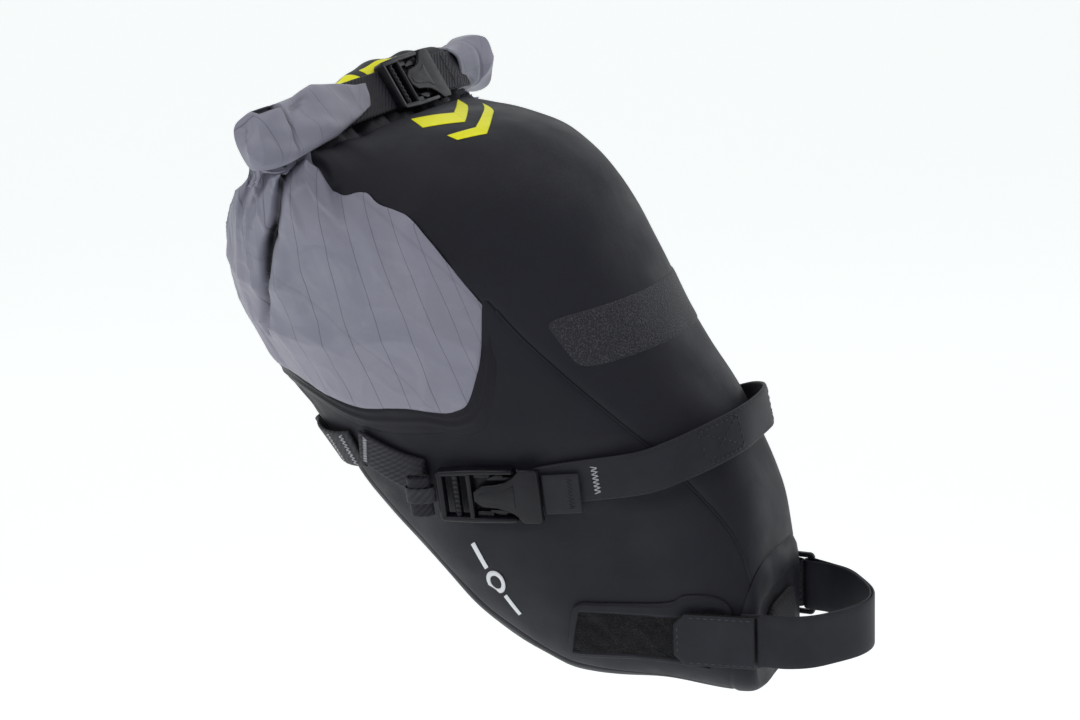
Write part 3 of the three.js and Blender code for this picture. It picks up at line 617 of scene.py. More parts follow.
def smooth_strap():
    colour = (0.0125, 0.0128, 0.0185)
    made = Surface("strap_laminate", colour, 0.55, sheen=0.02)
    made.tint(made.ramp(made.noise(14, 4), 0.4, 0.7, 0, 0.8), tuple(1.5 * c for c in colour))
    made.raise_by(made.noise(5, 4), 0.22, 0.5)
    return weave(made, 0.45, 0.06)


def moulded_plastic():
    made = Surface("moulded_plastic", (0.0052, 0.005, 0.0088), 0.36, shine=0.3)
    made.tint(made.ramp(made.noise(5, 4), 0.5, 0.75, 0, 0.6), (0.0108, 0.0104, 0.0165))
    made.roughen(made.noise(3, 3), 0.28, 0.44)
    return made.raise_by(made.noise(0.35, 2), 0.03, 0.6)


def grippy_rubber():
    made = Surface("grippy_rubber", (0.014, 0.014, 0.016), 0.78)
    made.tint(made.ramp(made.noise(4, 4), 0.5, 0.8, 0, 0.7), (0.026, 0.026, 0.03))
    across = made.lines(2.2, "X", turn=math.pi / 4)
    other = made.lines(2.2, "Y", turn=math.pi / 4)
    return made.raise_by(made.maths("MAXIMUM", across, other), 0.4, 0.8)


def looped_pile():
    made = Surface("looped_pile", (0.0045, 0.0045, 0.0055), 0.93, sheen=0.05)
    made.tint(made.ramp(made.noise(1.1, 3), 0.5, 0.75, 0, 0.8), (0.022, 0.022, 0.026))
    made.tint(made.ramp(made.noise(9, 3), 0.5, 0.7, 0, 0.5), (0.013, 0.013, 0.016))
    return made.raise_by(made.noise(0.9, 3), 0.8, 1.0)


def speckled_patch():
    """A printed grip texture, strong at the patch's right end and faint at its left."""
    made = Surface("speckled_patch", (0.02, 0.02, 0.025), 0.55, sheen=0.02)
    where = made.node("ShaderNodeSeparateXYZ")
    made.link(made.space("UV"), where.inputs[0])
    fade = made.ramp(where.outputs["X"], 0.035, -0.04, 1.0, 0.12)
    dots = made.ramp(made.noise(0.7, 1.5, rough=0.4), 0.46, 0.62)
    made.tint(made.maths("MULTIPLY", dots, fade), (0.058, 0.058, 0.072))
    return made.raise_by(made.maths("MULTIPLY", dots, fade), 0.5, 1.0)


def thread_colour(name, colour):
    made = Surface(name, colour, 0.7, sheen=0.3)
    made.tint(made.ramp(made.noise(0.8, 2), 0.45, 0.7, 0, 0.5), tuple(0.6 * c for c in colour))
    return made.raise_by(made.lines(0.5, "X"), 0.05, 0.6)


def printed(name, colour, roughness=0.5):
    made = Surface(name, colour, roughness)
    made.tint(made.ramp(made.noise(8, 4), 0.5, 0.75, 0, 0.4), tuple(0.88 * c for c in colour))
    made.roughen(made.noise(4, 3), roughness - 0.06, roughness + 0.08)
    return weave(made, 0.6, 0.05)


def coated_liner():
    made = Surface("coated_liner", (0.05, 0.05, 0.06), 0.6)
    made.tint(made.ramp(made.noise(20, 3), 0.4, 0.7), (0.07, 0.07, 0.085))
    return made.raise_by(made.noise(2, 3), 0.1, 0.5)


BLACK = black_laminate().material
BLACK_BAND = black_laminate("welded_band", (0.0062, 0.006, 0.0108), 0.48).material
GREY = grey_laminate().material
WEB = ribbed_webbing("ribbed_webbing", (0.007, 0.0068, 0.0118)).material
WEB_GREY = ribbed_webbing("soft_webbing", (0.018, 0.018, 0.022), 1.9, 0.2).material
STRAP = smooth_strap().material
PLASTIC = moulded_plastic().material
RUBBER = grippy_rubber().material
PILE = looped_pile().material
PATCH = speckled_patch().material
LIGHT_THREAD = thread_colour("light_thread", (0.42, 0.42, 0.46)).material
DARK_THREAD = thread_colour("dark_thread", (0.012, 0.012, 0.016)).material
EDGE_THREAD = thread_colour("edge_thread", (0.07, 0.07, 0.085)).material
YELLOW = printed("yellow_print", (0.9, 0.88, 0.0), 0.42).material
WHITE = printed("white_print", (0.78, 0.8, 0.84), 0.45).material
LINER = coated_liner().material

# ------------------------------------------------------------ body panels


def grid(rows, columns):
    """Even parameters from 0 to 1, one array along the rows and one across them."""
    a, b = np.linspace(0, 1, rows), np.linspace(0, 1, columns)
    return np.meshgrid(a, b, indexing="ij")


def upper_edge(station):
    """Degrees from the top mid-line where the black top ends."""
    return np.where(station < 6.7, through(CREASE, station), through(GREY_TOP, station))


def grey_front(angle):
    return through(GREY_FRONT, folded(angle))


def edge_distance(station, angle):
    """Millimetres from the top panel's seam, about."""
    half = smooth_table(STATIONS, station)[..., 4]
    return np.abs(folded(angle) - upper_edge(station)) * math.pi / 180 * half * 0.95


RAIL_BED = ([(3.6, 52), *RAIL_ROUTE[::-1]], WEBBING / 2 + 1, 0.5)


def rounded(a, b, cut, power=6):
    """Draws a unit grid's corners in, so that the piece has round ones."""
    x, y = 2 * a - 1, 2 * b - 1
    return (x * (1 - cut[0] * np.abs(y) ** power) + 1) / 2, (y * (1 - cut[1] * np.abs(x) ** power) + 1) / 2


def top_fabric():
    a, b = grid(230, 170)
    station = NOSE_SEAM + 0.02 + (NECK - 0.07 - NOSE_SEAM) * a
    under = np.where(station > 6.9, 3.5, -0.35)
    angle = (upper_edge(station) + under) * (2 * b - 1)
    height = relief(station, angle)
    past = np.clip((folded(angle) - upper_edge(station)) * 2, 0, 1)
    height = np.where(station < 6.9, seamed(edge_distance(station, angle), height, 0.9), height)
    nose = (station - NOSE_SEAM) * 36
    height = seamed(nose, height, 0.8) - 1.1 * past + 0.1
    return sheet_mesh("top_fabric", station, angle, SKIN + height, BLACK, slot="black_fabric",
                      replaces=("top_panel",))


def side_fabric(name, sign, node):
    a, b = grid(170, 110)
    edge = upper_edge(NOSE_SEAM + (6.7 - NOSE_SEAM) * a) + 0.35
    angle = edge + (BASE_EDGE - 0.3 - edge) * b
    front = grey_front(angle) + 0.12
    station = NOSE_SEAM + 0.02 + (front - NOSE_SEAM - 0.02) * a
    height = relief(station, angle * sign)
    half = smooth_table(STATIONS, station)[..., 4]
    seam = np.minimum(edge_distance(station, angle), (BASE_EDGE - angle) * math.pi / 180 * half)
    height = seamed(seam, height, 0.8)
    height = seamed((station - NOSE_SEAM) * 36, height, 0.8)
    height = pressed(station, angle, height, *RAIL_BED)
    height = height - 0.9 * np.clip((station - grey_front(angle)) / 0.1, 0, 1)
    return sheet_mesh(name, station, angle * sign, SKIN + height, BLACK, slot="black_fabric",
                      replaces=(node,))


def base_fabric():
    a, b = grid(150, 90)
    angle = BASE_EDGE - 0.1 + (360 - 2 * BASE_EDGE + 0.2) * b
    station = NOSE_SEAM + 0.02 + (grey_front(angle) + 0.1 - NOSE_SEAM) * a
    half = smooth_table(STATIONS, station)[..., 4]
    seam = np.abs(folded(angle) - BASE_EDGE) * math.pi / 180 * half
    height = seamed(seam, relief(station, angle), 0.7)
    height = pressed(station, angle, height, *RAIL_BED)
    height = height - 0.9 * np.clip((station - grey_front(angle)) / 0.1, 0, 1)
    return sheet_mesh("base_fabric", station, angle, SKIN + height, BLACK, slot="black_fabric",
                      replaces=("base_panel",))


def rear_fabric():
    a, b = grid(200, 430)
    edge = upper_edge(6.72 + (10.7 - 6.72) * a)
    angle = edge + (360 - 2 * edge) * b
    station = grey_front(angle) + 0.02 + (10.68 - grey_front(angle)) * a
    height = relief(station, angle, 1.0)
    height = height * (1 - ease((station - 10.35) / 0.3)) + 0.9
    drawn = NECK_DRAWN * ease((station - 8.9) / 1.7) * ease((folded(angle) - 66) / 30)
    front = (station - grey_front(angle)) * 42
    height = seamed(front, height, 0.5, 6)
    return sheet_mesh("rear_fabric", station, angle, SKIN + height, GREY, lowered=drawn, slot="grey_fabric",
                      replaces=("rear_panel",))


def welded_band():
    a, b = grid(15, 420)
    angle = 66 + 228 * b
    station = grey_front(angle) - 0.26 + 0.28 * a
    ridge = 0.5 * np.exp(-(((a - 0.5) / 0.1) ** 2)) - 0.25 * np.exp(-(((a - 0.72) / 0.08) ** 2))
    height = relief(station, angle) + 0.45 + ridge - 0.7 * np.abs(2 * a - 1) ** 6
    height = np.maximum(height, -0.4) - 1.6 * np.clip(1 - np.minimum(b, 1 - b) / 0.035, 0, 1)
    return sheet_mesh("welded_band", station, angle, SKIN + height, BLACK_BAND, 0.9, slot="black_fabric",
                      replaces=("weld_band",))


def crease_welt(name, sign):
    """The raised welt where a side panel meets the black top."""
    station = np.linspace(1.3, 6.55, 160)
    angle = upper_edge(station) * sign
    height = SKIN + relief(station, angle) * 0.35 - 1.0
    tubes(name, [on_body(station, angle, height)], 0.75, BLACK, slot="black_fabric")


def inner_liner():
    a, b = grid(60, 97)
    station, angle = 0.25 + (NECK - 0.9) * a, 360 * b
    points = on_body(station, angle, -13.5 - 8 * ease((station - 8.4) / 1.3))
    faces = grid_faces(60, 97)
    faces += [list(range(97))[::-1], [59 * 97 + k for k in range(97)]]
    return make("inner_liner", points.reshape(-1, 3), faces, LINER, arc_uv(points).reshape(-1, 2),
                slot="liner", replaces=("waterproof_liner",))


def grip_patch():
    a, b = grid(44, 190)
    a2, b2 = rounded(a, b, (0.02, 0.02), 10)
    a2, b2 = rounded(a2, b2, (0.16, 0.028), 24)
    angle = PATCH_EDGE * (2 * b2 - 1)
    station = PATCH_MIDDLE + PATCH_LEAN * (angle / PATCH_EDGE) ** 2 + PATCH_HALF * (2 * a2 - 1)
    rim = np.maximum(np.abs(2 * a - 1) ** 14, np.abs(2 * b - 1) ** 40)
    height = relief(station, angle) + 0.75 - 0.5 * rim
    return sheet_mesh("grip_patch", station, angle, SKIN + height, PATCH, 0.8, slot="textured_patch",
                      replaces=("top_patch",))


def nose_cup():
    """The boot that closes the nose: a flat front, a rounded corner and a short skirt."""
    columns = 181
    angle = np.linspace(0, 360, columns)
    front_x = -POST_RADIUS - 3.1
    rows = []
    middle = np.array([front_x, 0, -6.0])
    ring = on_body(np.full(columns, 0.05), angle, np.full(columns, SKIN))
    ring[:, 0] = front_x
    for share in np.linspace(0.02, 0.9, 9):
        rows.append(middle + (ring - middle) * share)
    for station in np.linspace(0.0, 1.0, 8):
        turn = station * math.pi / 2
        point = on_body(np.full(columns, 0.1 + 0.5 * station), angle, np.full(columns, SKIN))
        inner = middle + (ring - middle) * (0.93 + 0.07 * math.sin(turn))
        rows.append(inner * (1 - station) + point * station)
    for station in np.linspace(0.68, NOSE_SEAM + 0.06, 14):
        swell = 0.35 * math.sin((station - 0.68) / 0.6 * math.pi)
        tuck = -0.9 * max(0.0, (station - 1.22) / 0.09)
        rows.append(on_body(np.full(columns, station), angle, np.full(columns, SKIN + 0.5 + swell + tuck)))
    points = np.stack(rows)
    points = points + 0.25 * waves(points, 22, 21)[..., None] * unit(points - np.array([-40, 0, 0]))
    faces = grid_faces(len(rows), columns)
    faces.append(list(range(columns - 1))[::-1])
    return make("nose_cup", points.reshape(-1, 3), faces, BLACK, arc_uv(points).reshape(-1, 2),
                slot="black_fabric", replaces=("nose_boot",))


def post_pad():
    """The pad that grips the seatpost, moulded with round corners."""
    a, b = grid(40, 60)
    a2, b2 = rounded(a, b, (0.16, 0.16), 6)
    y, z = 20 * (2 * b2 - 1), -6 + 14 * (2 * a2 - 1)
    x = -POST_RADIUS - 0.25 - 1.2 * np.maximum(np.abs(2 * a - 1), np.abs(2 * b - 1)) ** 12
    front = np.stack([x, y, z], -1)
    back = np.stack([np.full(x.shape, -POST_RADIUS - 2.3), y, z], -1)
    uv = np.stack([y, z], -1) * MM
    points = np.vstack([front.reshape(-1, 3), back.reshape(-1, 3)])
    return make("post_pad", points, layer_faces(40, 60), RUBBER,
                np.vstack([uv.reshape(-1, 2)] * 2), slot="rubber", replaces=("friction_pad",))


def hook_places(a, b):
    upper = HOOK_UPPER[0] + (HOOK_UPPER[1] - HOOK_UPPER[0]) * a
    lower = HOOK_LOWER[0] + (HOOK_LOWER[1] - HOOK_LOWER[0]) * a
    rear = HOOK_REAR[0] + (HOOK_REAR[1] - HOOK_REAR[0]) * b
    return HOOK_FRONT + (rear - HOOK_FRONT) * a, upper + (lower - upper) * b


def hook_field():
    """The pile patch with its raised, welded rim."""
    a, b = grid(200, 80)
    a2, b2 = rounded(a, b, (0.035, 0.14), 16)
    station, angle = hook_places(a2, b2)
    x, y = np.abs(2 * a - 1) ** 1, np.abs(2 * b - 1)
    side = np.maximum((x - 0.9) / 0.1, (y - 0.74) / 0.26)
    inside = side < 0
    rim = np.clip(side * 6, 0, 1) * (1 - np.clip((side - 0.8) / 0.2, 0, 1) ** 2 * 0.7)
    rng = np.random.default_rng(4)
    fuzz = rng.uniform(0, 0.45, station.shape)
    points = body(station, angle)
    pile = 0.35 + fuzz + 0.25 * waves(points, 9, 31)
    height = relief(station, angle) + 0.5 + np.where(inside, pile * 0.8, 0.2 + 1.0 * rim)
    rim_obj = sheet_mesh("hook_field", station, angle, SKIN + height, PILE, 1.0, slot="hook_tape",
                         replaces=("hook_patch",))
    rim_obj.data.materials.append(BLACK)
    rows, columns = station.shape
    for r in range(rows - 1):
        for c in range(columns - 1):
            if not inside[r, c]:
                rim_obj.data.polygons[r * (columns - 1) + c].material_index = 1
    return rim_obj


def chevron(name, far, apex, near):
    """A printed arrow on the top: two bars from its apex, each given by (front, rear) edge places."""
    arms = []
    for end in (far, near):
        (s0, a0), (s1, a1) = apex
        (s2, a2), (s3, a3) = end
        t, w = grid(36, 14)
        station = (s0 + (s2 - s0) * t) * (1 - w) + (s1 + (s3 - s1) * t) * w
        angle = (a0 + (a2 - a0) * t) * (1 - w) + (a1 + (a3 - a1) * t) * w
        height = relief(station, angle) + 0.1 + 0.3
        arms.append((station, angle, height))
    for k, (station, angle, height) in enumerate(arms):
        flip = k == 1
        if flip:
            station, angle, height = station[:, ::-1], angle[:, ::-1], height[:, ::-1]
        sheet_mesh(f"{name}_{'far' if k == 0 else 'near'}_bar", station, angle, SKIN + height, YELLOW, 0.35,
                   slot="black_fabric")


def side_mark():
    """A small generic printed ring between two bars, low on the right side."""
    turn = np.linspace(0, 2 * math.pi, 73)
    centre = (4.9, 121.0)

    def place(u, v):
        """Millimetres along and across the mark, as (station, angle)."""
        return centre[0] + (u * 0.93 + v * 0.36) / 36, centre[1] + (v * 0.93 - u * 0.36) / 50 * 57.3

    rings = []
    for radius in (2.6, 4.4):
        rings.append(place(radius * np.cos(turn), radius * np.sin(turn)))
    station = np.stack([rings[0][0], rings[1][0]])
    angle = np.stack([rings[0][1], rings[1][1]])
    height = relief(station, angle) + 0.35
    sheet_mesh("side_mark_ring", station[:, ::-1], angle[:, ::-1], SKIN + height, WHITE, 0.35,
               slot="black_fabric")
    for k, offset in enumerate((-10.5, 10.5)):
        a, b = grid(6, 24)
        u = offset + 4.6 * (2 * b - 1)
        v = 0.95 * (2 * a - 1)
        station, angle = place(u, v)
        height = relief(station, angle) + 0.35
        sheet_mesh(f"side_mark_bar_{k}", station, angle, SKIN + height, WHITE, 0.35, slot="black_fabric")


# ------------------------------------------------------------ straps and their stitching


def mirror(points):
    return np.asarray(points, float) * (1, -1, 1)


def zigzag(place, middle, across, length, turns, run):
    """A bartack: a zigzag of thread over a strap, centred at a length along it."""
    t = np.linspace(-0.5, 0.5, turns * 2 + 1)
    side = np.where(np.arange(len(t)) % 2 == 0, -0.5, 0.5) * run
    fine = np.linspace(0, len(t) - 1, len(t) * 6)
    v = np.interp(fine, np.arange(len(t)), t) * length + across
    u = np.interp(fine, np.arange(len(t)), side) + middle
    return place(u, v, 0.12)


def dashes(place, start, end, pitch=2.6, lift=0.1):
    """Stitches in a straight line between two (along, across) places on a strap."""
    (u0, v0), (u1, v1) = start, end
    count = max(2, int(math.hypot(u1 - u0, v1 - v0) / pitch))
    lines = []
    for k in range(count):
        t = (k + np.linspace(0.14, 0.86, 5)) / count
        arch = lift - 0.25 * np.abs(2 * np.linspace(0, 1, 5) - 1) ** 2
        lines.append(place(u0 + (u1 - u0) * t, v0 + (v1 - v0) * t, arch))
    return lines


def side_strap(route, count, height=SKIN + 0.4):
    s, a = route_places(route, count)
    return on_body(s, a, np.full(count, height)), outward(s, a)


def rail_strap():
    """The strap from one side buckle over the saddle's rails to the other, in one run."""
    low, low_face = side_strap(RAIL_ROUTE[4:6], 5)
    stations, angles, lifts = np.array(SPAN_ROUTE, float).T
    high = on_body(stations, angles, SKIN + lifts)
    high_face = outward(stations, angles)
    share = angles / angles[0]
    high_face[:, 2] *= 0.2 + 0.8 * share
    half = np.hstack([np.vstack([low, high]), 6 * unit(np.vstack([low_face, high_face]))])
    other = half[:-1][::-1] * (1, -1, 1, 1, -1, 1)
    path = chord_path(np.vstack([half, other]), 190)
    obj, place, length = strap("rail_strap", path[:, :3], unit(path[:, 3:]), WEBBING, WEBBING_THICK, STRAP,
                               sag=0.12, slot="strap_laminate",
                               replaces=("rail_strap_span", "rail_strap_right", "rail_strap_left"))
    for end, sign in (("right", 1), ("left", -1)):
        at = (lambda u: u) if sign > 0 else (lambda u: length - u)
        bartack = [zigzag(place, at(33.0), 0.0, 13.0, 7, 3.2)]
        tubes(f"bartack_{end}", bartack, 0.28, LIGHT_THREAD, slot="webbing")
        box = [(at(83), -7.6), (at(104), -7.6), (at(104), 7.6), (at(83), 7.6)]
        lines = []
        for k in range(4):
            lines += dashes(place, box[k], box[(k + 1) % 4])
        lines += dashes(place, box[0], box[2]) + dashes(place, box[1], box[3])
        tubes(f"box_stitch_{end}", lines, 0.3, DARK_THREAD, slot="webbing")
    edges = []
    for v in (-8.9, 8.9):
        edges += dashes(place, (6, v), (length - 6, v), 3.0, 0.05)
    tubes("rail_strap_edge_stitch", edges, 0.16, DARK_THREAD, slot="webbing")
    return obj


def anchor_webbing(name, sign, node):
    points, faces = side_strap([(6.62, 126), (6.2, 116), (5.98, 110)], 24)
    if sign < 0:
        points, faces = mirror(points), mirror(faces)
    obj, place = strap(name, points, faces, WEBBING, WEBBING_THICK, WEB, slot="webbing",
                       replaces=(node,))[:2]
    tubes(f"{name}_bartack", [zigzag(place, 4.0, 0, 16, 9, 2.6)], 0.26, LIGHT_THREAD, slot="webbing")
    return obj


def light_loop():
    route = [(6.62, 129), RAIL_ROUTE[1], RAIL_ROUTE[0], (RAIL_ROUTE[1][0], 208), (6.62, 231)]
    s, a = route_places(route, 90)
    gap = 2.4 * np.abs(np.sin(np.linspace(0, 4 * math.pi, 90)))
    obj, place, length = strap("light_loop_webbing", on_body(s, a, SKIN + 0.5 + gap), outward(s, a), WEBBING,
                               WEBBING_THICK, WEB_GREY, slot="webbing", replaces=("light_loop",))
    tacks = [zigzag(place, u, 0, 17, 9, 2.8) for u in (6, 16, length / 2, length - 16, length - 6)]
    tubes("light_loop_bartacks", tacks, 0.28, LIGHT_THREAD, slot="webbing")
    return obj


def post_strap_route():
    """The seatpost strap in plan: from its sewn end round the post to the ring, and back outside."""
    side, reach, layer = 36, 24.5, 1.5

    def half(out):
        return [(-14, side - 0.2 + out), (-4, side - 1.4 + out), (6, side - 6 + out),
                (15, side - 15 + 0.8 * out), (reach - 2.4 + out, 10), (reach + out, 0)]

    def loop(out):
        near = [(x, -y) for x, y in half(out)]
        return near + half(out)[:-1][::-1]

    first = chord_path([(*p, 0) for p in [(-24.5, -side - 1.9), *loop(0)]], 90)
    ring_y = 37.95
    turn = ring_y - loop(0)[-1][1]
    second = loop(layer)[::-1]
    second[0] = (second[0][0], ring_y + turn)
    second.append((-16.5, -39.1))
    back = chord_path([(*p, 0) for p in second], 90)
    angles = -math.pi / 2 - np.linspace(0, math.pi, 13)[1:-1]
    bend = np.stack([-14 + 1.75 * turn * np.cos(angles), ring_y + turn * np.sin(angles), 0 * angles], -1)
    return np.vstack([first, bend, back])


def post_strap():
    path = post_strap_route()
    along = unit(np.gradient(path, axis=0))
    face = np.stack([along[:, 1], -along[:, 0], np.zeros(len(along))], -1)
    low = path - 0.55 * face
    obj, place, length = strap("post_strap_loop", low, face, 25, 1.1, STRAP, slot="strap_laminate",
                               replaces=("post_strap",))
    lines = []
    for v in (-11, 11):
        lines += dashes(place, (2, v), (length - 2, v), 3.0, 0.05)
    tubes("post_strap_stitch", lines, 0.15, EDGE_THREAD, slot="webbing")
    return obj


def strap_tip():
    """The strap's free end: a hook lining and a face, with clipped corners."""
    front, rear = np.array([-17.5, -39.2, 0]), np.array([-54, -45.2, 0])
    along = unit(front - rear)
    face = np.array([along[1], -along[0], 0])
    count = 60
    t = np.linspace(0, 1, count)
    centre = rear + (front - rear) * t[:, None]
    from_end = t * np.linalg.norm(front - rear)
    width = 25 - 2 * np.clip(5 - from_end, 0, 5) * 0.98
    for name, low, material, thick, slot, node in (
            ("strap_tip_hooks", 0.0, PILE, 1.0, "hook_tape", "strap_tip_lining"),
            ("strap_tip_cover", 1.35, STRAP, 1.15, "strap_laminate", "strap_tip_face")):
        place, length = strap(name, centre + face * low, np.tile(face, (count, 1)), width, thick, material,
                              slot=slot, replaces=(node,), body_name="strap_tip")[1:]
    lines = []
    for v in (-11, 11):
        lines += dashes(place, (6.5, v), (length - 1, v), 3.0, 0.05)
    lines += dashes(place, (1.6, -6.6), (1.6, 6.6), 3.0, 0.05)
    tubes("strap_tip_stitch", lines, 0.15, EDGE_THREAD, slot="webbing", body_name="strap_tip")


def ring_tab():
    points, faces = side_strap([(1.42, 98), (2.1, 101)], 24)
    place, length = strap("ring_tab_webbing", mirror(points), mirror(faces), 24, WEBBING_THICK, WEB,
                          slot="webbing", replaces=("ring_tab",))[1:]
    lines = dashes(place, (3, -10), (3, 10)) + dashes(place, (length - 4, -10), (length - 4, 10))
    lines += dashes(place, (3, -10), (length - 4, 10)) + dashes(place, (3, 10), (length - 4, -10))
    tubes("ring_tab_stitch", lines, 0.28, EDGE_THREAD, slot="webbing")


def ring_tab_loop():
    """The ring tab's webbing where it turns round the ring's rear bar."""
    turn = np.linspace(-0.5 * math.pi, 0.5 * math.pi, 18)
    bar = np.array([-23.0, 38.3, 0])
    bend = bar + np.stack([4.0 * np.cos(turn), 2.0 * np.sin(turn), 0 * turn], -1)
    face = np.stack([np.cos(turn), np.sin(turn), 0 * turn], -1)
    back = [(-30.5, 36.9), (-28.5, 36.6), (-26, 36.4)]
    low = np.array([(*p, 0) for p in back], float)
    high = low[::-1] + (0, 3.4, 0)
    points = np.vstack([low, bend, high])
    faces = np.vstack([np.tile([0.1, -1, 0], (3, 1)), face, np.tile([0, 1, 0], (3, 1))])
    strap("ring_tab_bend", points, unit(faces), 23.6, 1.2, WEB, slot="webbing")


# ------------------------------------------------------------ buckles


class Place:
    """A buckle's own frame: x towards the clip's webbing, y across it and z out from the bag."""

    def __init__(self, origin, along, out):
        self.origin = np.asarray(origin, float)
        self.x = unit(np.asarray(along, float))
        self.y = unit(np.cross(out, self.x))
        self.z = np.cross(self.x, self.y)

    def __call__(self, points):
        p = np.asarray(points, float)
        return self.origin + p[..., :1] * self.x + p[..., 1:2] * self.y + p[..., 2:] * self.z


def side_place():
    s, a = np.array(RAIL_ROUTE[3:6], float).T
    behind, here, ahead = on_body(s, a, np.full(3, SKIN))
    return Place(here, ahead - behind, outward(s[1], a[1]))


def roll_place():
    out = np.array([math.cos(math.radians(30)), 0, 0.5])
    return Place(np.array([ROLL_X, 36, ROLL_Z]) + out * (ROLL_RADIUS + 0.3), (0, 1, 0), out)


def block(outline, low, high, bevel=0.7):
    """Rings of a plate with eased edges, from an outline of (x, y), as (points, faces)."""
    p = np.array(outline, float)
    before, after = np.roll(p, 1, 0), np.roll(p, -1, 0)
    edge_a, edge_b = unit(p - before), unit(after - p)
    normal_a = np.stack([edge_a[:, 1], -edge_a[:, 0]], -1)
    normal_b = np.stack([edge_b[:, 1], -edge_b[:, 0]], -1)
    out = unit(normal_a + normal_b)
    if np.sum(p[:, 0] * after[:, 1] - after[:, 0] * p[:, 1]) < 0:
        out = -out
    rings = []
    steps = [(bevel, 0), (0.7 * bevel, 0.08 * bevel), (0.3 * bevel, 0.3 * bevel), (0.08 * bevel, 0.7 * bevel),
             (0, bevel)]
    for inset, rise in steps:
        rings.append((inset, low + rise))
    for inset, rise in steps[::-1]:
        rings.append((inset, high - rise))
    points = np.vstack([np.hstack([p - out * inset, np.full((len(p), 1), z)]) for inset, z in rings])
    n = len(p)
    faces = grid_faces(len(rings), n, wrap=True)
    faces.append(list(range(n))[::-1])
    faces.append([(len(rings) - 1) * n + k for k in range(n)])
    return points, faces


def rounded_rect(x0, x1, y0, y1, r, steps=5):
    outline = []
    corners = ((x1 - r, y1 - r, 0), (x0 + r, y1 - r, 90), (x0 + r, y0 + r, 180), (x1 - r, y0 + r, 270))
    for cx, cy, start in corners:
        for k in range(steps + 1):
            turn = math.radians(start + 90 * k / steps)
            outline.append((cx + r * math.cos(turn), cy + r * math.sin(turn)))
    return outline


def parts_mesh(name, parts, place, flipped, material, **keys):
    """Several local (points, faces) parts as one piece in a buckle's frame."""
    points, faces = [], []
    for p, f in parts:
        start = sum(len(q) for q in points)
        points.append(p)
        faces += [[start + k for k in face] for face in f]
    here = place(np.vstack(points))
    if flipped:
        here = mirror(here)
    uv = np.vstack(points)[:, :2] * MM
    obj = make(name, here, faces, material, uv, smooth=True, **keys)
    sharp = obj.modifiers.new("sharp", "EDGE_SPLIT")
    sharp.split_angle = math.radians(38)
    return obj


def rod(x, z, half, radius, teeth=0):
    """A bar across the buckle, with optional grip teeth."""
    turn = np.linspace(0, 2 * math.pi, 15)[:-1]
    along = np.linspace(-half, half, 60 if teeth else 6)
    grow = radius * (1 + (0.16 * np.sin(along / half * math.pi * teeth) if teeth else 0 * along))
    points = np.stack([
        x + grow[:, None] * np.cos(turn), np.broadcast_to(along[:, None], (len(along), 14)),
        z + grow[:, None] * np.sin(turn)], -1).reshape(-1, 3)
    faces = grid_faces(len(along), 14, wrap=True)
    faces.append(list(range(14))[::-1])
    faces.append([(len(along) - 1) * 14 + k for k in range(14)])
    return points, faces


def buckle_shell(prefix, place, flipped):
    """The fixed half: adjuster bars, two side rails, a floor and the arms round the clip."""
    w, low, top = 13.3, 0.7, 6.5
    parts = []
    for sign in (-1, 1):
        outline = [(-40.6, sign * 9.9), (-40.6, sign * 11.4), (-39.2, sign * 12.5), (-24.8, sign * w),
                   (-8.0, sign * w), (-4.4, sign * (w - 0.5)), (-4.1, sign * (w - 1.6)), (-4.6, sign * 10.9),
                   (-24, sign * 10.7), (-26, sign * 10.3)]
        parts.append(block(outline if sign > 0 else outline[::-1], low, top, 0.9))
    parts.append(block(rounded_rect(-40.9, -37.6, -12.0, 12.0, 1.5), low, top, 1.1))
    parts.append(block(rounded_rect(-33.6, -30.6, -11.0, 11.0, 0.9), low + 0.8, top - 1.0, 0.9))
    parts.append(rod(-32.1, 4.7, 10.4, 1.15, teeth=9))
    parts.append(block(rounded_rect(-26.6, -24.2, -11.4, 11.4, 0.8), low, top, 0.9))
    parts.append(block(rounded_rect(-25.4, -4.3, -11.2, 11.2, 0.8), low, 1.9, 0.4))
    for sign in (-1, 1):
        y0, y1 = sorted((sign * 8.2, sign * 11.2))
        parts.append(block(rounded_rect(-23.6, -15.5, y0, y1, 0.9), low, 4.2, 0.5))
    return parts_mesh(f"{prefix}_buckle_frame", parts, place, flipped, PLASTIC, slot="buckle_plastic",
                      replaces=(f"{prefix}_buckle_shell",))


def buckle_clip(prefix, place, flipped):
    """The moving half: a spade with a raised rib, its webbing bars and the guide below."""
    w, top = 13.3, 6.5
    half = [(-23.6, 2.2), (-21.6, 4.0), (-19.4, 5.3), (-13.0, 5.9), (-8.5, 7.0), (-4.8, 9.2), (-2.6, 11.4),
            (-0.8, w), (6.4, w), (7.6, w - 1.3)]
    outline = [(x, -y) for x, y in half] + half[::-1]
    parts = [block(outline, 4.9, top, 0.6)]
    inner = [(x * 0.8 - 2.2, y * 0.52) for x, y in half[:7]]
    parts.append(block([(x, -y) for x, y in inner] + inner[::-1], top - 0.3, top + 0.25, 0.25))
    for sign in (-1, 1):
        rail = [(-2.4, sign * 10.5), (7.8, sign * 10.5), (7.8, sign * 12.6), (-2.4, sign * w)]
        parts.append(block(rail if sign > 0 else rail[::-1], 3.0, 5.4, 0.5))
    parts.append(rod(6.4, 4.4, 11.4, 1.35))
    parts.append(rod(-1.0, 4.0, 11.4, 1.2))
    parts.append(block(rounded_rect(-15, -1, -4.1, 4.1, 0.9), 3.0, 5.0, 0.4))
    return parts_mesh(f"{prefix}_clip_spade", parts, place, flipped, PLASTIC, slot="buckle_plastic",
                      body_name=f"{prefix}_clip", replaces=(f"{prefix}_clip_plate",))


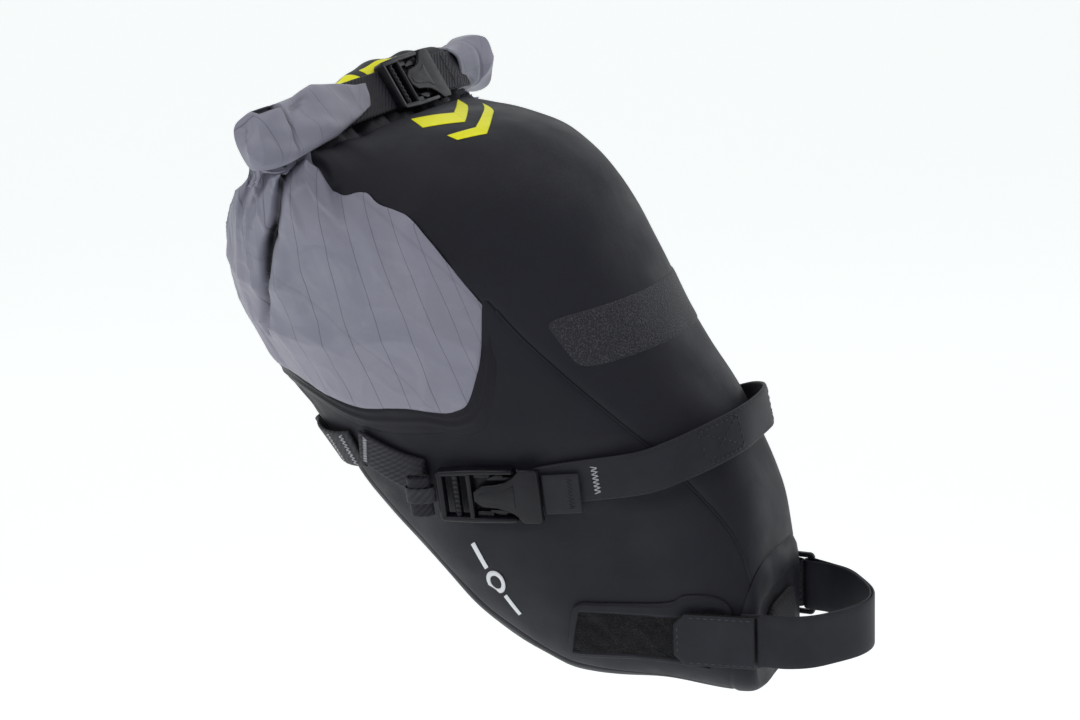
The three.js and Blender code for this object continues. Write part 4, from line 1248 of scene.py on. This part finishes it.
def buckle_prongs(prefix, place, flipped):
    for letter, sign in (("a", 1), ("b", -1)):
        outline = [(-3.3, 6.7), (-12, 7.3), (-16.9, 7.3), (-16.9, 8.3), (-12.5, 10.1), (-9.5, 10.1),
                   (-9, 9.1), (-3.3, 8.9)]
        outline = [(x, y * sign) for x, y in outline]
        arm = block(outline if sign < 0 else outline[::-1], 3.0, 4.4, 0.3)
        parts_mesh(f"{prefix}_prong_{letter}_arm", [arm],
                   place, flipped, PLASTIC, slot="buckle_plastic", body_name=f"{prefix}_prong_{letter}",
                   replaces=(f"{prefix}_clip_prong_{letter}",))


def clip_webbing(prefix, place, flipped, bend):
    """The doubled webbing round the clip's bar, sewn on itself."""
    u = np.linspace(0, 1, 26)
    x = 8.6 + 16.6 * u
    local = np.stack([x, 0 * x, 2.95 - bend * x * x], -1)
    points = place(local)
    faces = np.tile(place.z, (len(points), 1))
    if flipped:
        points, faces = mirror(points), mirror(faces)
    material = STRAP if prefix != "roll" else WEB
    at, length = strap(f"{prefix}_clip_webbing", points, faces, 19.6, 1.6, material, sag=0.1,
                       slot="webbing", body_name=f"{prefix}_clip", replaces=(f"{prefix}_clip_loop",))[1:]
    lines = [zigzag(at, length - 4.5, 0, 15, 8, 2.4)]
    tubes(f"{prefix}_clip_bartack", lines, 0.24, DARK_THREAD, slot="webbing", body_name=f"{prefix}_clip")


def wound_webbing(prefix, place, flipped):
    """The spare end of the webbing, wound up flat, with an elastic band round it."""
    turns = 2.6
    t = np.linspace(0, 1, 120)
    angle = t * turns * 2 * math.pi
    across, high = 1.6 + 3.9 * t, 0.6 + 2.1 * t
    centre = (-49.0, 6.2)
    local = np.stack([centre[0] + across * np.cos(angle), 0 * t, centre[1] - 1.2 + high * np.sin(angle)], -1)
    facing = np.stack([np.cos(angle) * high, 0 * t, np.sin(angle) * across], -1)
    points = place(local)
    faces = place(unit(facing)) - place.origin
    if flipped:
        points, faces = mirror(points), mirror(faces)
    strap(f"{prefix}_wound_webbing", points, faces, 19.2, 0.7, WEB, slot="webbing",
          replaces=(f"{prefix}_webbing_bundle",))
    turn = np.linspace(0, 2 * math.pi, 41)
    band = np.stack([centre[0] + 6.7 * np.cos(turn), 0 * turn + 1.0,
                     centre[1] - 1.2 + 3.3 * np.sin(turn)], -1)
    look = np.stack([np.cos(turn), 0 * turn, 1.6 * np.sin(turn)], -1)
    points, faces = place(band), place(unit(look)) - place.origin
    if flipped:
        points, faces = mirror(points), mirror(faces)
    strap(f"{prefix}_elastic", points, faces, 7.5, 0.5, WEB_GREY, slot="webbing")


# ------------------------------------------------------------ the rolled closure


def roll_radius(y, turn):
    """The roll's radius round its axis: a spiral step, slack folds and a fuller middle."""
    around = np.stack([8 * np.cos(turn), y / 2.2, 8 * np.sin(turn)], -1)
    step = 1.3 * (((turn - 2.2) % (2 * math.pi)) / (2 * math.pi))
    behind = np.exp(-(((turn - 1.85) / 0.75) ** 2)) * ease((y + 72) / 85) * ease((84 - y) / 14)
    swell = 5.4 * behind + 0.8 * np.exp(-(((y - 30) / 60) ** 2))
    along = np.stack([0 * y, y, 3 * np.cos(turn)], -1)
    return ROLL_RADIUS - 1.2 + step + swell + 0.7 * waves(around, 19, 41) + 0.5 * waves(along, 26, 42)


def roll_point(y, turn, radius):
    """A point about the roll's axis; turn 0 looks forwards and a quarter turn looks up."""
    sag = np.where(y < 0, 0.0, -3.5) * (y / ROLL_HALF) ** 2
    x = ROLL_X + radius * np.cos(turn) * 0.98
    z = ROLL_Z - sag + radius * np.sin(turn) * 1.04
    return np.stack([x, y, z], -1)


def rolled_fabric():
    """The rolled mouth, with the turns of its spiral showing at both ends."""
    a, b = grid(240, 121)
    y = -ROLL_HALF + 12 + (2 * ROLL_HALF - 24) * a
    turn = 2 * math.pi * b
    wall = roll_point(y, turn, roll_radius(y, turn))
    caps = []
    for end, row in ((-1, 0), (1, -1)):
        rings = []
        for share in np.linspace(0.97, 0.04, 30):
            radius = roll_radius(y[row], turn[row]) * share
            spiral = (radius / 2.3 + turn[row] / (2 * math.pi)) % 1
            depth = 2.6 * np.exp(-(((spiral - 0.5) / 0.17) ** 2)) + 1.6 * (1 - share)
            rings.append(roll_point(y[row] - end * depth, turn[row], radius))
        caps.append(np.stack(rings))
    points = np.vstack([caps[0][::-1], wall, caps[1]])
    faces = tube_faces(*points.shape[:2])
    return make("rolled_fabric", points.reshape(-1, 3), faces, BLACK, arc_uv(points).reshape(-1, 2),
                slot="black_fabric", replaces=("rolled_closure",))


def neck_tuck(name, start, end, material, slot):
    """One side of the flattened mouth, from the body's neck to the underside of the roll."""
    rows, columns = 40, 221
    angle = np.linspace(start, end, columns)
    turn = np.radians(angle)
    rear = ease((folded(angle) - 66) / 30)
    drawn = 2.2 * (1 - rear) + NECK_DRAWN * rear * float(ease((10.5 - 8.9) / 1.7))
    low = on_body(np.full(columns, 10.5), angle, SKIN + 0.6 - drawn)
    high = np.stack([ROLL_X - 1 + 6 * np.cos(turn), -96 * np.sin(turn), ROLL_Z - 3 + 4 * np.cos(turn)], -1)
    out = unit(np.stack([np.cos(turn), -np.sin(turn) * 0.4, 0.4 * np.cos(turn)], -1))
    layers = []
    for inset in (0.0, 1.2):
        points = []
        for share in np.linspace(0, 1, rows):
            ring = low * (1 - ease(share)) + high * ease(share)
            pleats = 1.5 * waves(ring * (0.3, 1, 0.08), 15, 81) * math.sin(share * math.pi) - inset
            points.append(ring + out * pleats[:, None])
        layers.append(np.stack(points))
    uv = arc_uv(layers[0]).reshape(-1, 2)
    points = np.vstack([layer.reshape(-1, 3) for layer in layers])
    return make(name, points, layer_faces(rows, columns), material, np.vstack([uv, uv]), slot=slot)


def sleeve_radius(y, turn, tip, reach):
    """Radius of the grey sleeve over the roll, squarer towards its tip and creased where it turns."""
    around = np.stack([7 * np.cos(turn), y / 2.0, 7 * np.sin(turn)], -1)
    loose = 0.75 * waves(around, 17, 51) + 0.6 * (1 - 1.6 * np.abs(waves(around, 13, 52)))
    square = (np.abs(np.cos(turn)) ** 4 + np.abs(np.sin(turn)) ** 4) ** -0.25
    radius = (roll_radius(y, turn) + 1.6) * (1 + (square - 1) * (0.25 + 0.5 * tip))
    radius = radius + loose * (0.4 + 0.6 * reach)
    crease = np.exp(-(((y - 96) / 1.1) ** 2)) * (0.6 + 0.4 * np.cos(turn + 0.4))
    radius = radius - 0.8 * crease + 0.5 * np.exp(-(((y - 96 + 4) / 3) ** 2))
    lap = 1.4 * (((turn + 1.9) % (2 * math.pi)) / (2 * math.pi))
    return radius + lap + 2.6 * tip * np.clip(-np.sin(turn), 0, 1) ** 2


def far_flap():
    """The far grey end of the mouth: a sleeve whose tip is folded shut but for a slit at its top."""
    tip_y, inner_y = 112, 78
    cap_rows, wall_rows, columns = 46, 130, 181
    turn = 2 * math.pi * np.linspace(0, 1, columns)
    layers = []
    for inset in (0.0, 1.1):
        rows = []
        y = np.full(columns, tip_y - (1.0 + inset))
        radius = sleeve_radius(y, turn, 1.0, 1.0) - inset
        for share in np.linspace(0.03, 1, cap_rows):
            edge = np.clip((share - 0.86) / 0.14, 0, 1)
            slit = np.exp(-(((turn - 2.0) / 0.6) ** 4)) * np.exp(-(((share - 0.78) / 0.1) ** 4))
            pleat = 0.8 * np.exp(-(((share * np.cos(turn - 0.9) - 0.25) / 0.07) ** 2))
            spot = np.stack([share * 14 * np.cos(turn), share * 14 * np.sin(turn), 0 * turn], -1)
            depth = 6.5 * slit + pleat + 2.2 * edge**2 + 0.5 * waves(spot, 16, 61)
            point = roll_point(y, turn, radius * (share * (1 - 0.05 * edge)))
            point[:, 1] = np.clip(y - depth, -ROLL_HALF - 2, ROLL_HALF + 3)
            rows.append(point)
        for place in np.linspace(0.0, 1.0, wall_rows):
            y = np.full(columns, tip_y - (3.4 + inset) + (inner_y - tip_y + 3.4) * place)
            tip = np.clip(1 - place * abs(inner_y - tip_y) / 32, 0, 1)
            hem = 1.2 * np.cos(turn - 0.9) * np.clip(place * 4 - 3, 0, 1)
            point = roll_point(y, turn, sleeve_radius(y, turn, tip, 1 - place) - inset)
            point[:, 1] = y - hem * 0.8
            rows.append(point)
        layers.append(np.stack(rows))
    outer, inner = layers
    faces = layer_faces(cap_rows + wall_rows, columns)
    uv = np.stack([outer[..., 1], np.broadcast_to(turn * 16, outer.shape[:2])], -1).reshape(-1, 2) * MM
    return make("roll_end_far", np.vstack([outer.reshape(-1, 3), inner.reshape(-1, 3)]), faces, GREY,
                np.vstack([uv, uv]), slot="grey_fabric", replaces=("roll_flap_left",))


def near_flap():
    """The near grey end of the mouth: a flat folded band laid over the roll, with a slit at its tip."""
    cap_rows, wall_rows, columns = 18, 170, 221
    lean_x, lean_z = 0.829, 0.559  # the way the band's face looks
    around = 2 * math.pi * np.linspace(0, 1, columns)
    across = np.sign(np.sin(around)) * np.abs(np.sin(around)) ** 0.72
    deep = np.sign(np.cos(around)) * np.abs(np.cos(around)) ** 0.62
    tip_y = -115.5 + 4.5 * across
    inner_y = -24.5 + 3.0 * across
    rows = [(share, 0.0) for share in np.linspace(0.04, 0.94, cap_rows)]
    rows += [(1.0, place) for place in np.linspace(0.0, 1.0, wall_rows)]
    points, flats, painted_shades = [], [], []
    for share, place in rows:
        y = tip_y + (inner_y - tip_y) * place - 1.6 * (1 - share**2)
        top = np.interp(y, (-114, -108, -92, -78, -70, -62, -45, -29, -16),
                        (9, 10.4, 9.6, 9.8, 11.2, 12.2, 9.2, 5.2, 4.0))
        low = np.interp(y, (-120, -106, -98, -86, -65, -40, -22), (14, 16, 16.4, 15.6, 14.4, 9.6, 5.2))
        centre = np.interp(y, (-111, -92, -72, -19), (3.4, 6, 11, 14.4))
        thick = np.interp(y, (-118, -108, -92, -72, -50, -19), (6.5, 8, 7.5, 4.6, 2.6, 1.5))
        front = np.clip(deep, 0, 1)
        wide = np.where(across > 0, top, low) * across
        spot = np.stack([y / 1.5, wide, 0 * y], -1)
        q = centre + thick * deep * share
        q = q + front * share * (0.7 * waves(spot, 24, 71) + 0.25 * waves(spot, 11, 72))
        crease = np.exp(-(((y + 96 - 0.04 * wide) / 0.9) ** 2))
        pleat = np.exp(-(((wide - 0.2 * (y + 80) - 5.5) / 1.5) ** 2))
        pleat = pleat * ease((y + 95) / 8) * ease((-72 - y) / 8)
        q = q - front * (1.0 * crease + 1.3 * pleat)
        slit = np.exp(-(((wide - top + 2.2) / 1.4) ** 4)) * ease((y + 110) / 3) * ease((-93 - y) / 3)
        q = q - 4.5 * slit * front ** 0.3
        slit = slit * (deep > 0)
        wide = wide * (0.35 + 0.65 * share)
        x = ROLL_X + lean_x * q - lean_z * wide - 1.5
        z = ROLL_Z + lean_z * q + lean_x * wide
        points.append(np.stack([x, y, z], -1))
        flats.append(np.stack([y, wide], -1))
        # Painted shade for the fold shade attribute: dark in the slit's gap, fainter along the crease and the
        # pleat.
        painted_shades.append(np.clip(0.95 * slit + 0.3 * crease * front + 0.12 * pleat * front, 0, 1))
    faces = tube_faces(len(rows), columns)
    obj = make("roll_end_near", np.concatenate(points), faces, GREY, np.vstack(flats) * MM,
               slot="grey_fabric", replaces=("roll_flap_right",))
    set_painted_fold_shade(obj, np.concatenate(painted_shades))
    return obj


def roll_straps():
    """Webbing along the roll on both sides of its buckle."""
    place = roll_place()
    for name, y0, y1, node in (("roll_webbing_near", -66, -2.5, "roll_webbing_right"),
                               ("roll_webbing_far", 37.0, 82, "roll_webbing_left")):
        y = np.linspace(y0, y1, 50)
        lift = np.interp(y, (-66, -30, -8, 37, 70, 82), (-2.0, -0.3, 1.2, 0.5, -0.6, -3.0))
        local = np.stack([y - 36, 0 * y, lift + 0.3 * np.sin(y * 0.16)], -1)
        strap(name, place(local), np.tile(place.z, (len(y), 1)), WEBBING, WEBBING_THICK, WEB,
              sag=0.15, slot="webbing", replaces=(node,))


def roll_print(name, corners):
    """A printed bar on the roll, given the (y, degrees round it) of its corners."""
    a, b = grid(14, 30)
    (y0, t0), (y1, t1), (y2, t2), (y3, t3) = corners
    y = (y0 * (1 - b) + y1 * b) * (1 - a) + (y3 * (1 - b) + y2 * b) * a
    turn = np.radians((t0 * (1 - b) + t1 * b) * (1 - a) + (t3 * (1 - b) + t2 * b) * a)
    layers = [roll_point(y, turn, roll_radius(y, turn) + lift).reshape(-1, 3) for lift in (0.35, -0.5)]
    uv = (np.stack([y, turn * 12], -1) * MM).reshape(-1, 2)
    return make(name, np.vstack(layers), layer_faces(14, 30), YELLOW, np.vstack([uv, uv]),
                slot="black_fabric")


# ------------------------------------------------------------ assembly

soft = [
    top_fabric(),
    side_fabric("side_fabric_right", 1, "side_panel_right"),
    side_fabric("side_fabric_left", -1, "side_panel_left"),
    base_fabric(),
    rear_fabric(),
    nose_cup(),
    rolled_fabric(),
    neck_tuck("neck_tuck_front", -62, 62, BLACK, "black_fabric"),
    neck_tuck("neck_tuck_rear", 60, 300, GREY, "grey_fabric"),
]
inner_liner()
welded_band()
crease_welt("crease_welt_right", 1)
crease_welt("crease_welt_left", -1)
grip_patch()
post_pad()
hook_field()
chevron("front_chevron", ((9.0, -3), (9.4, -16.5)), ((8.55, 18), (8.8, 15)), ((8.75, 25.5), (8.95, 24)))
chevron("rear_chevron", ((9.5, -9), (10.05, -28.5)), ((9.05, 12), (9.4, 4.5)), ((9.4, 21), (9.85, 12)))
side_mark()

rail_strap()
anchor_webbing("anchor_webbing_near", 1, "anchor_webbing_right")
anchor_webbing("anchor_webbing_far", -1, "anchor_webbing_left")
light_loop()
post_strap()
strap_tip()
ring_tab()
ring_tab_loop()

BUCKLES = (("right", side_place(), False), ("left", side_place(), True), ("roll", roll_place(), False))
for side, where, turned in BUCKLES:
    buckle_shell(side, where, turned)
    buckle_clip(side, where, turned)
    buckle_prongs(side, where, turned)
    clip_webbing(side, where, turned, 0 if side == "roll" else 0.0035)
    if side != "roll":
        wound_webbing(side, where, turned)

near_flap()
far_flap()
roll_straps()
roll_print("roll_print_near", ((-36, 100), (-19, 106), (-16, 62), (-30, 58)))
roll_print("roll_print_far", ((-10, 92), (28, 92), (24, 70), (-9, 68)))

for name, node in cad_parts.items():
    if not node.hide_render:
        node.data.materials.clear()
        node.data.materials.append(PLASTIC)

# ------------------------------------------------------------ stage, light and camera


def studio():
    """A pale floor with a curved back wall, well below and behind the bag, as one sheet."""
    a, b = grid(60, 3)
    depth = 9.0 * a
    bend = np.clip((depth - 5.0) / 4.0, 0, 1)
    x, y = -0.4 * depth, 0.88 * depth
    side = (2 * b - 1) * 14
    points = np.stack([0.6 - 0.88 * side + x * 1.2 - 0.4, -3.2 - 0.4 * side + y * 1.4,
                       -0.9 + 7 * bend**2.2], -1)
    floor_finish = Surface("studio_paper", (0.86, 0.875, 0.87), 0.9)
    floor_finish.shader.inputs["Emission Color"].default_value = (0.93, 0.96, 0.95, 1)
    floor_finish.shader.inputs["Emission Strength"].default_value = 0.62
    floor_finish.tint(floor_finish.ramp(floor_finish.noise(900, 2), 0.4, 0.7, 0, 0.3), (0.84, 0.855, 0.855))
    mesh = bpy.data.meshes.new("studio_sweep")
    mesh.from_pydata(points.reshape(-1, 3).tolist(), [], grid_faces(60, 3))
    mesh.materials.append(floor_finish.material)
    mesh.shade_smooth()
    floor = bpy.data.objects.new("studio_sweep", mesh)
    bpy.context.scene.collection.objects.link(floor)


def area_light(name, place, target, size, power, colour=(1, 1, 1)):
    light = bpy.data.lights.new(name, "AREA")
    light.shape = "RECTANGLE"
    light.size, light.size_y = size
    light.energy = power
    light.color = colour
    obj = bpy.data.objects.new(name, light)
    bpy.context.scene.collection.objects.link(obj)
    obj.location = place
    way = Vector(target) - Vector(place)
    obj.rotation_euler = way.to_track_quat("-Z", "Y").to_euler()
    return obj


studio()
CENTRE = (-0.14, 0.0, 0.10)
area_light("key_light", (-1.0, -1.6, 1.5), CENTRE, (1.3, 1.0), 15, (1.0, 0.99, 0.98))
area_light("fill_light", (1.5, -1.3, 0.7), CENTRE, (1.2, 1.2), 2.5, (0.93, 0.95, 1.0))
area_light("top_light", (0.4, 0.2, 1.8), CENTRE, (1.4, 1.0), 9)
area_light("rear_light", (0.9, 1.4, 0.9), CENTRE, (0.8, 1.2), 3, (0.95, 0.96, 1.0))

world = bpy.data.worlds.new("studio_world")
world.use_nodes = True
world.node_tree.nodes["Background"].inputs["Color"].default_value = (0.95, 0.97, 1.0, 1)
world.node_tree.nodes["Background"].inputs["Strength"].default_value = 0.32
bpy.context.scene.world = world

# Where the photograph was taken from: in front of the bag, to its right and a little above.
camera = bpy.data.cameras.new("camera")
camera.lens = 73.25
camera.sensor_width = 36
camera.clip_end = 60
camera_object = bpy.data.objects.new("camera", camera)
bpy.context.scene.collection.objects.link(camera_object)
right = Vector((0.9142, 0.4032, -0.0407))
upward = Vector((-0.0723, 0.2609, 0.9626))
forward = Vector((-0.3988, 0.8771, -0.2676))
turned_to = Matrix((right, upward, -forward)).transposed().to_4x4()
turned_to.translation = Vector((0.28075, -0.91678, 0.39292))
camera_object.matrix_world = turned_to
bpy.context.scene.camera = camera_object
bpy.context.scene.view_settings.view_transform = "Standard"
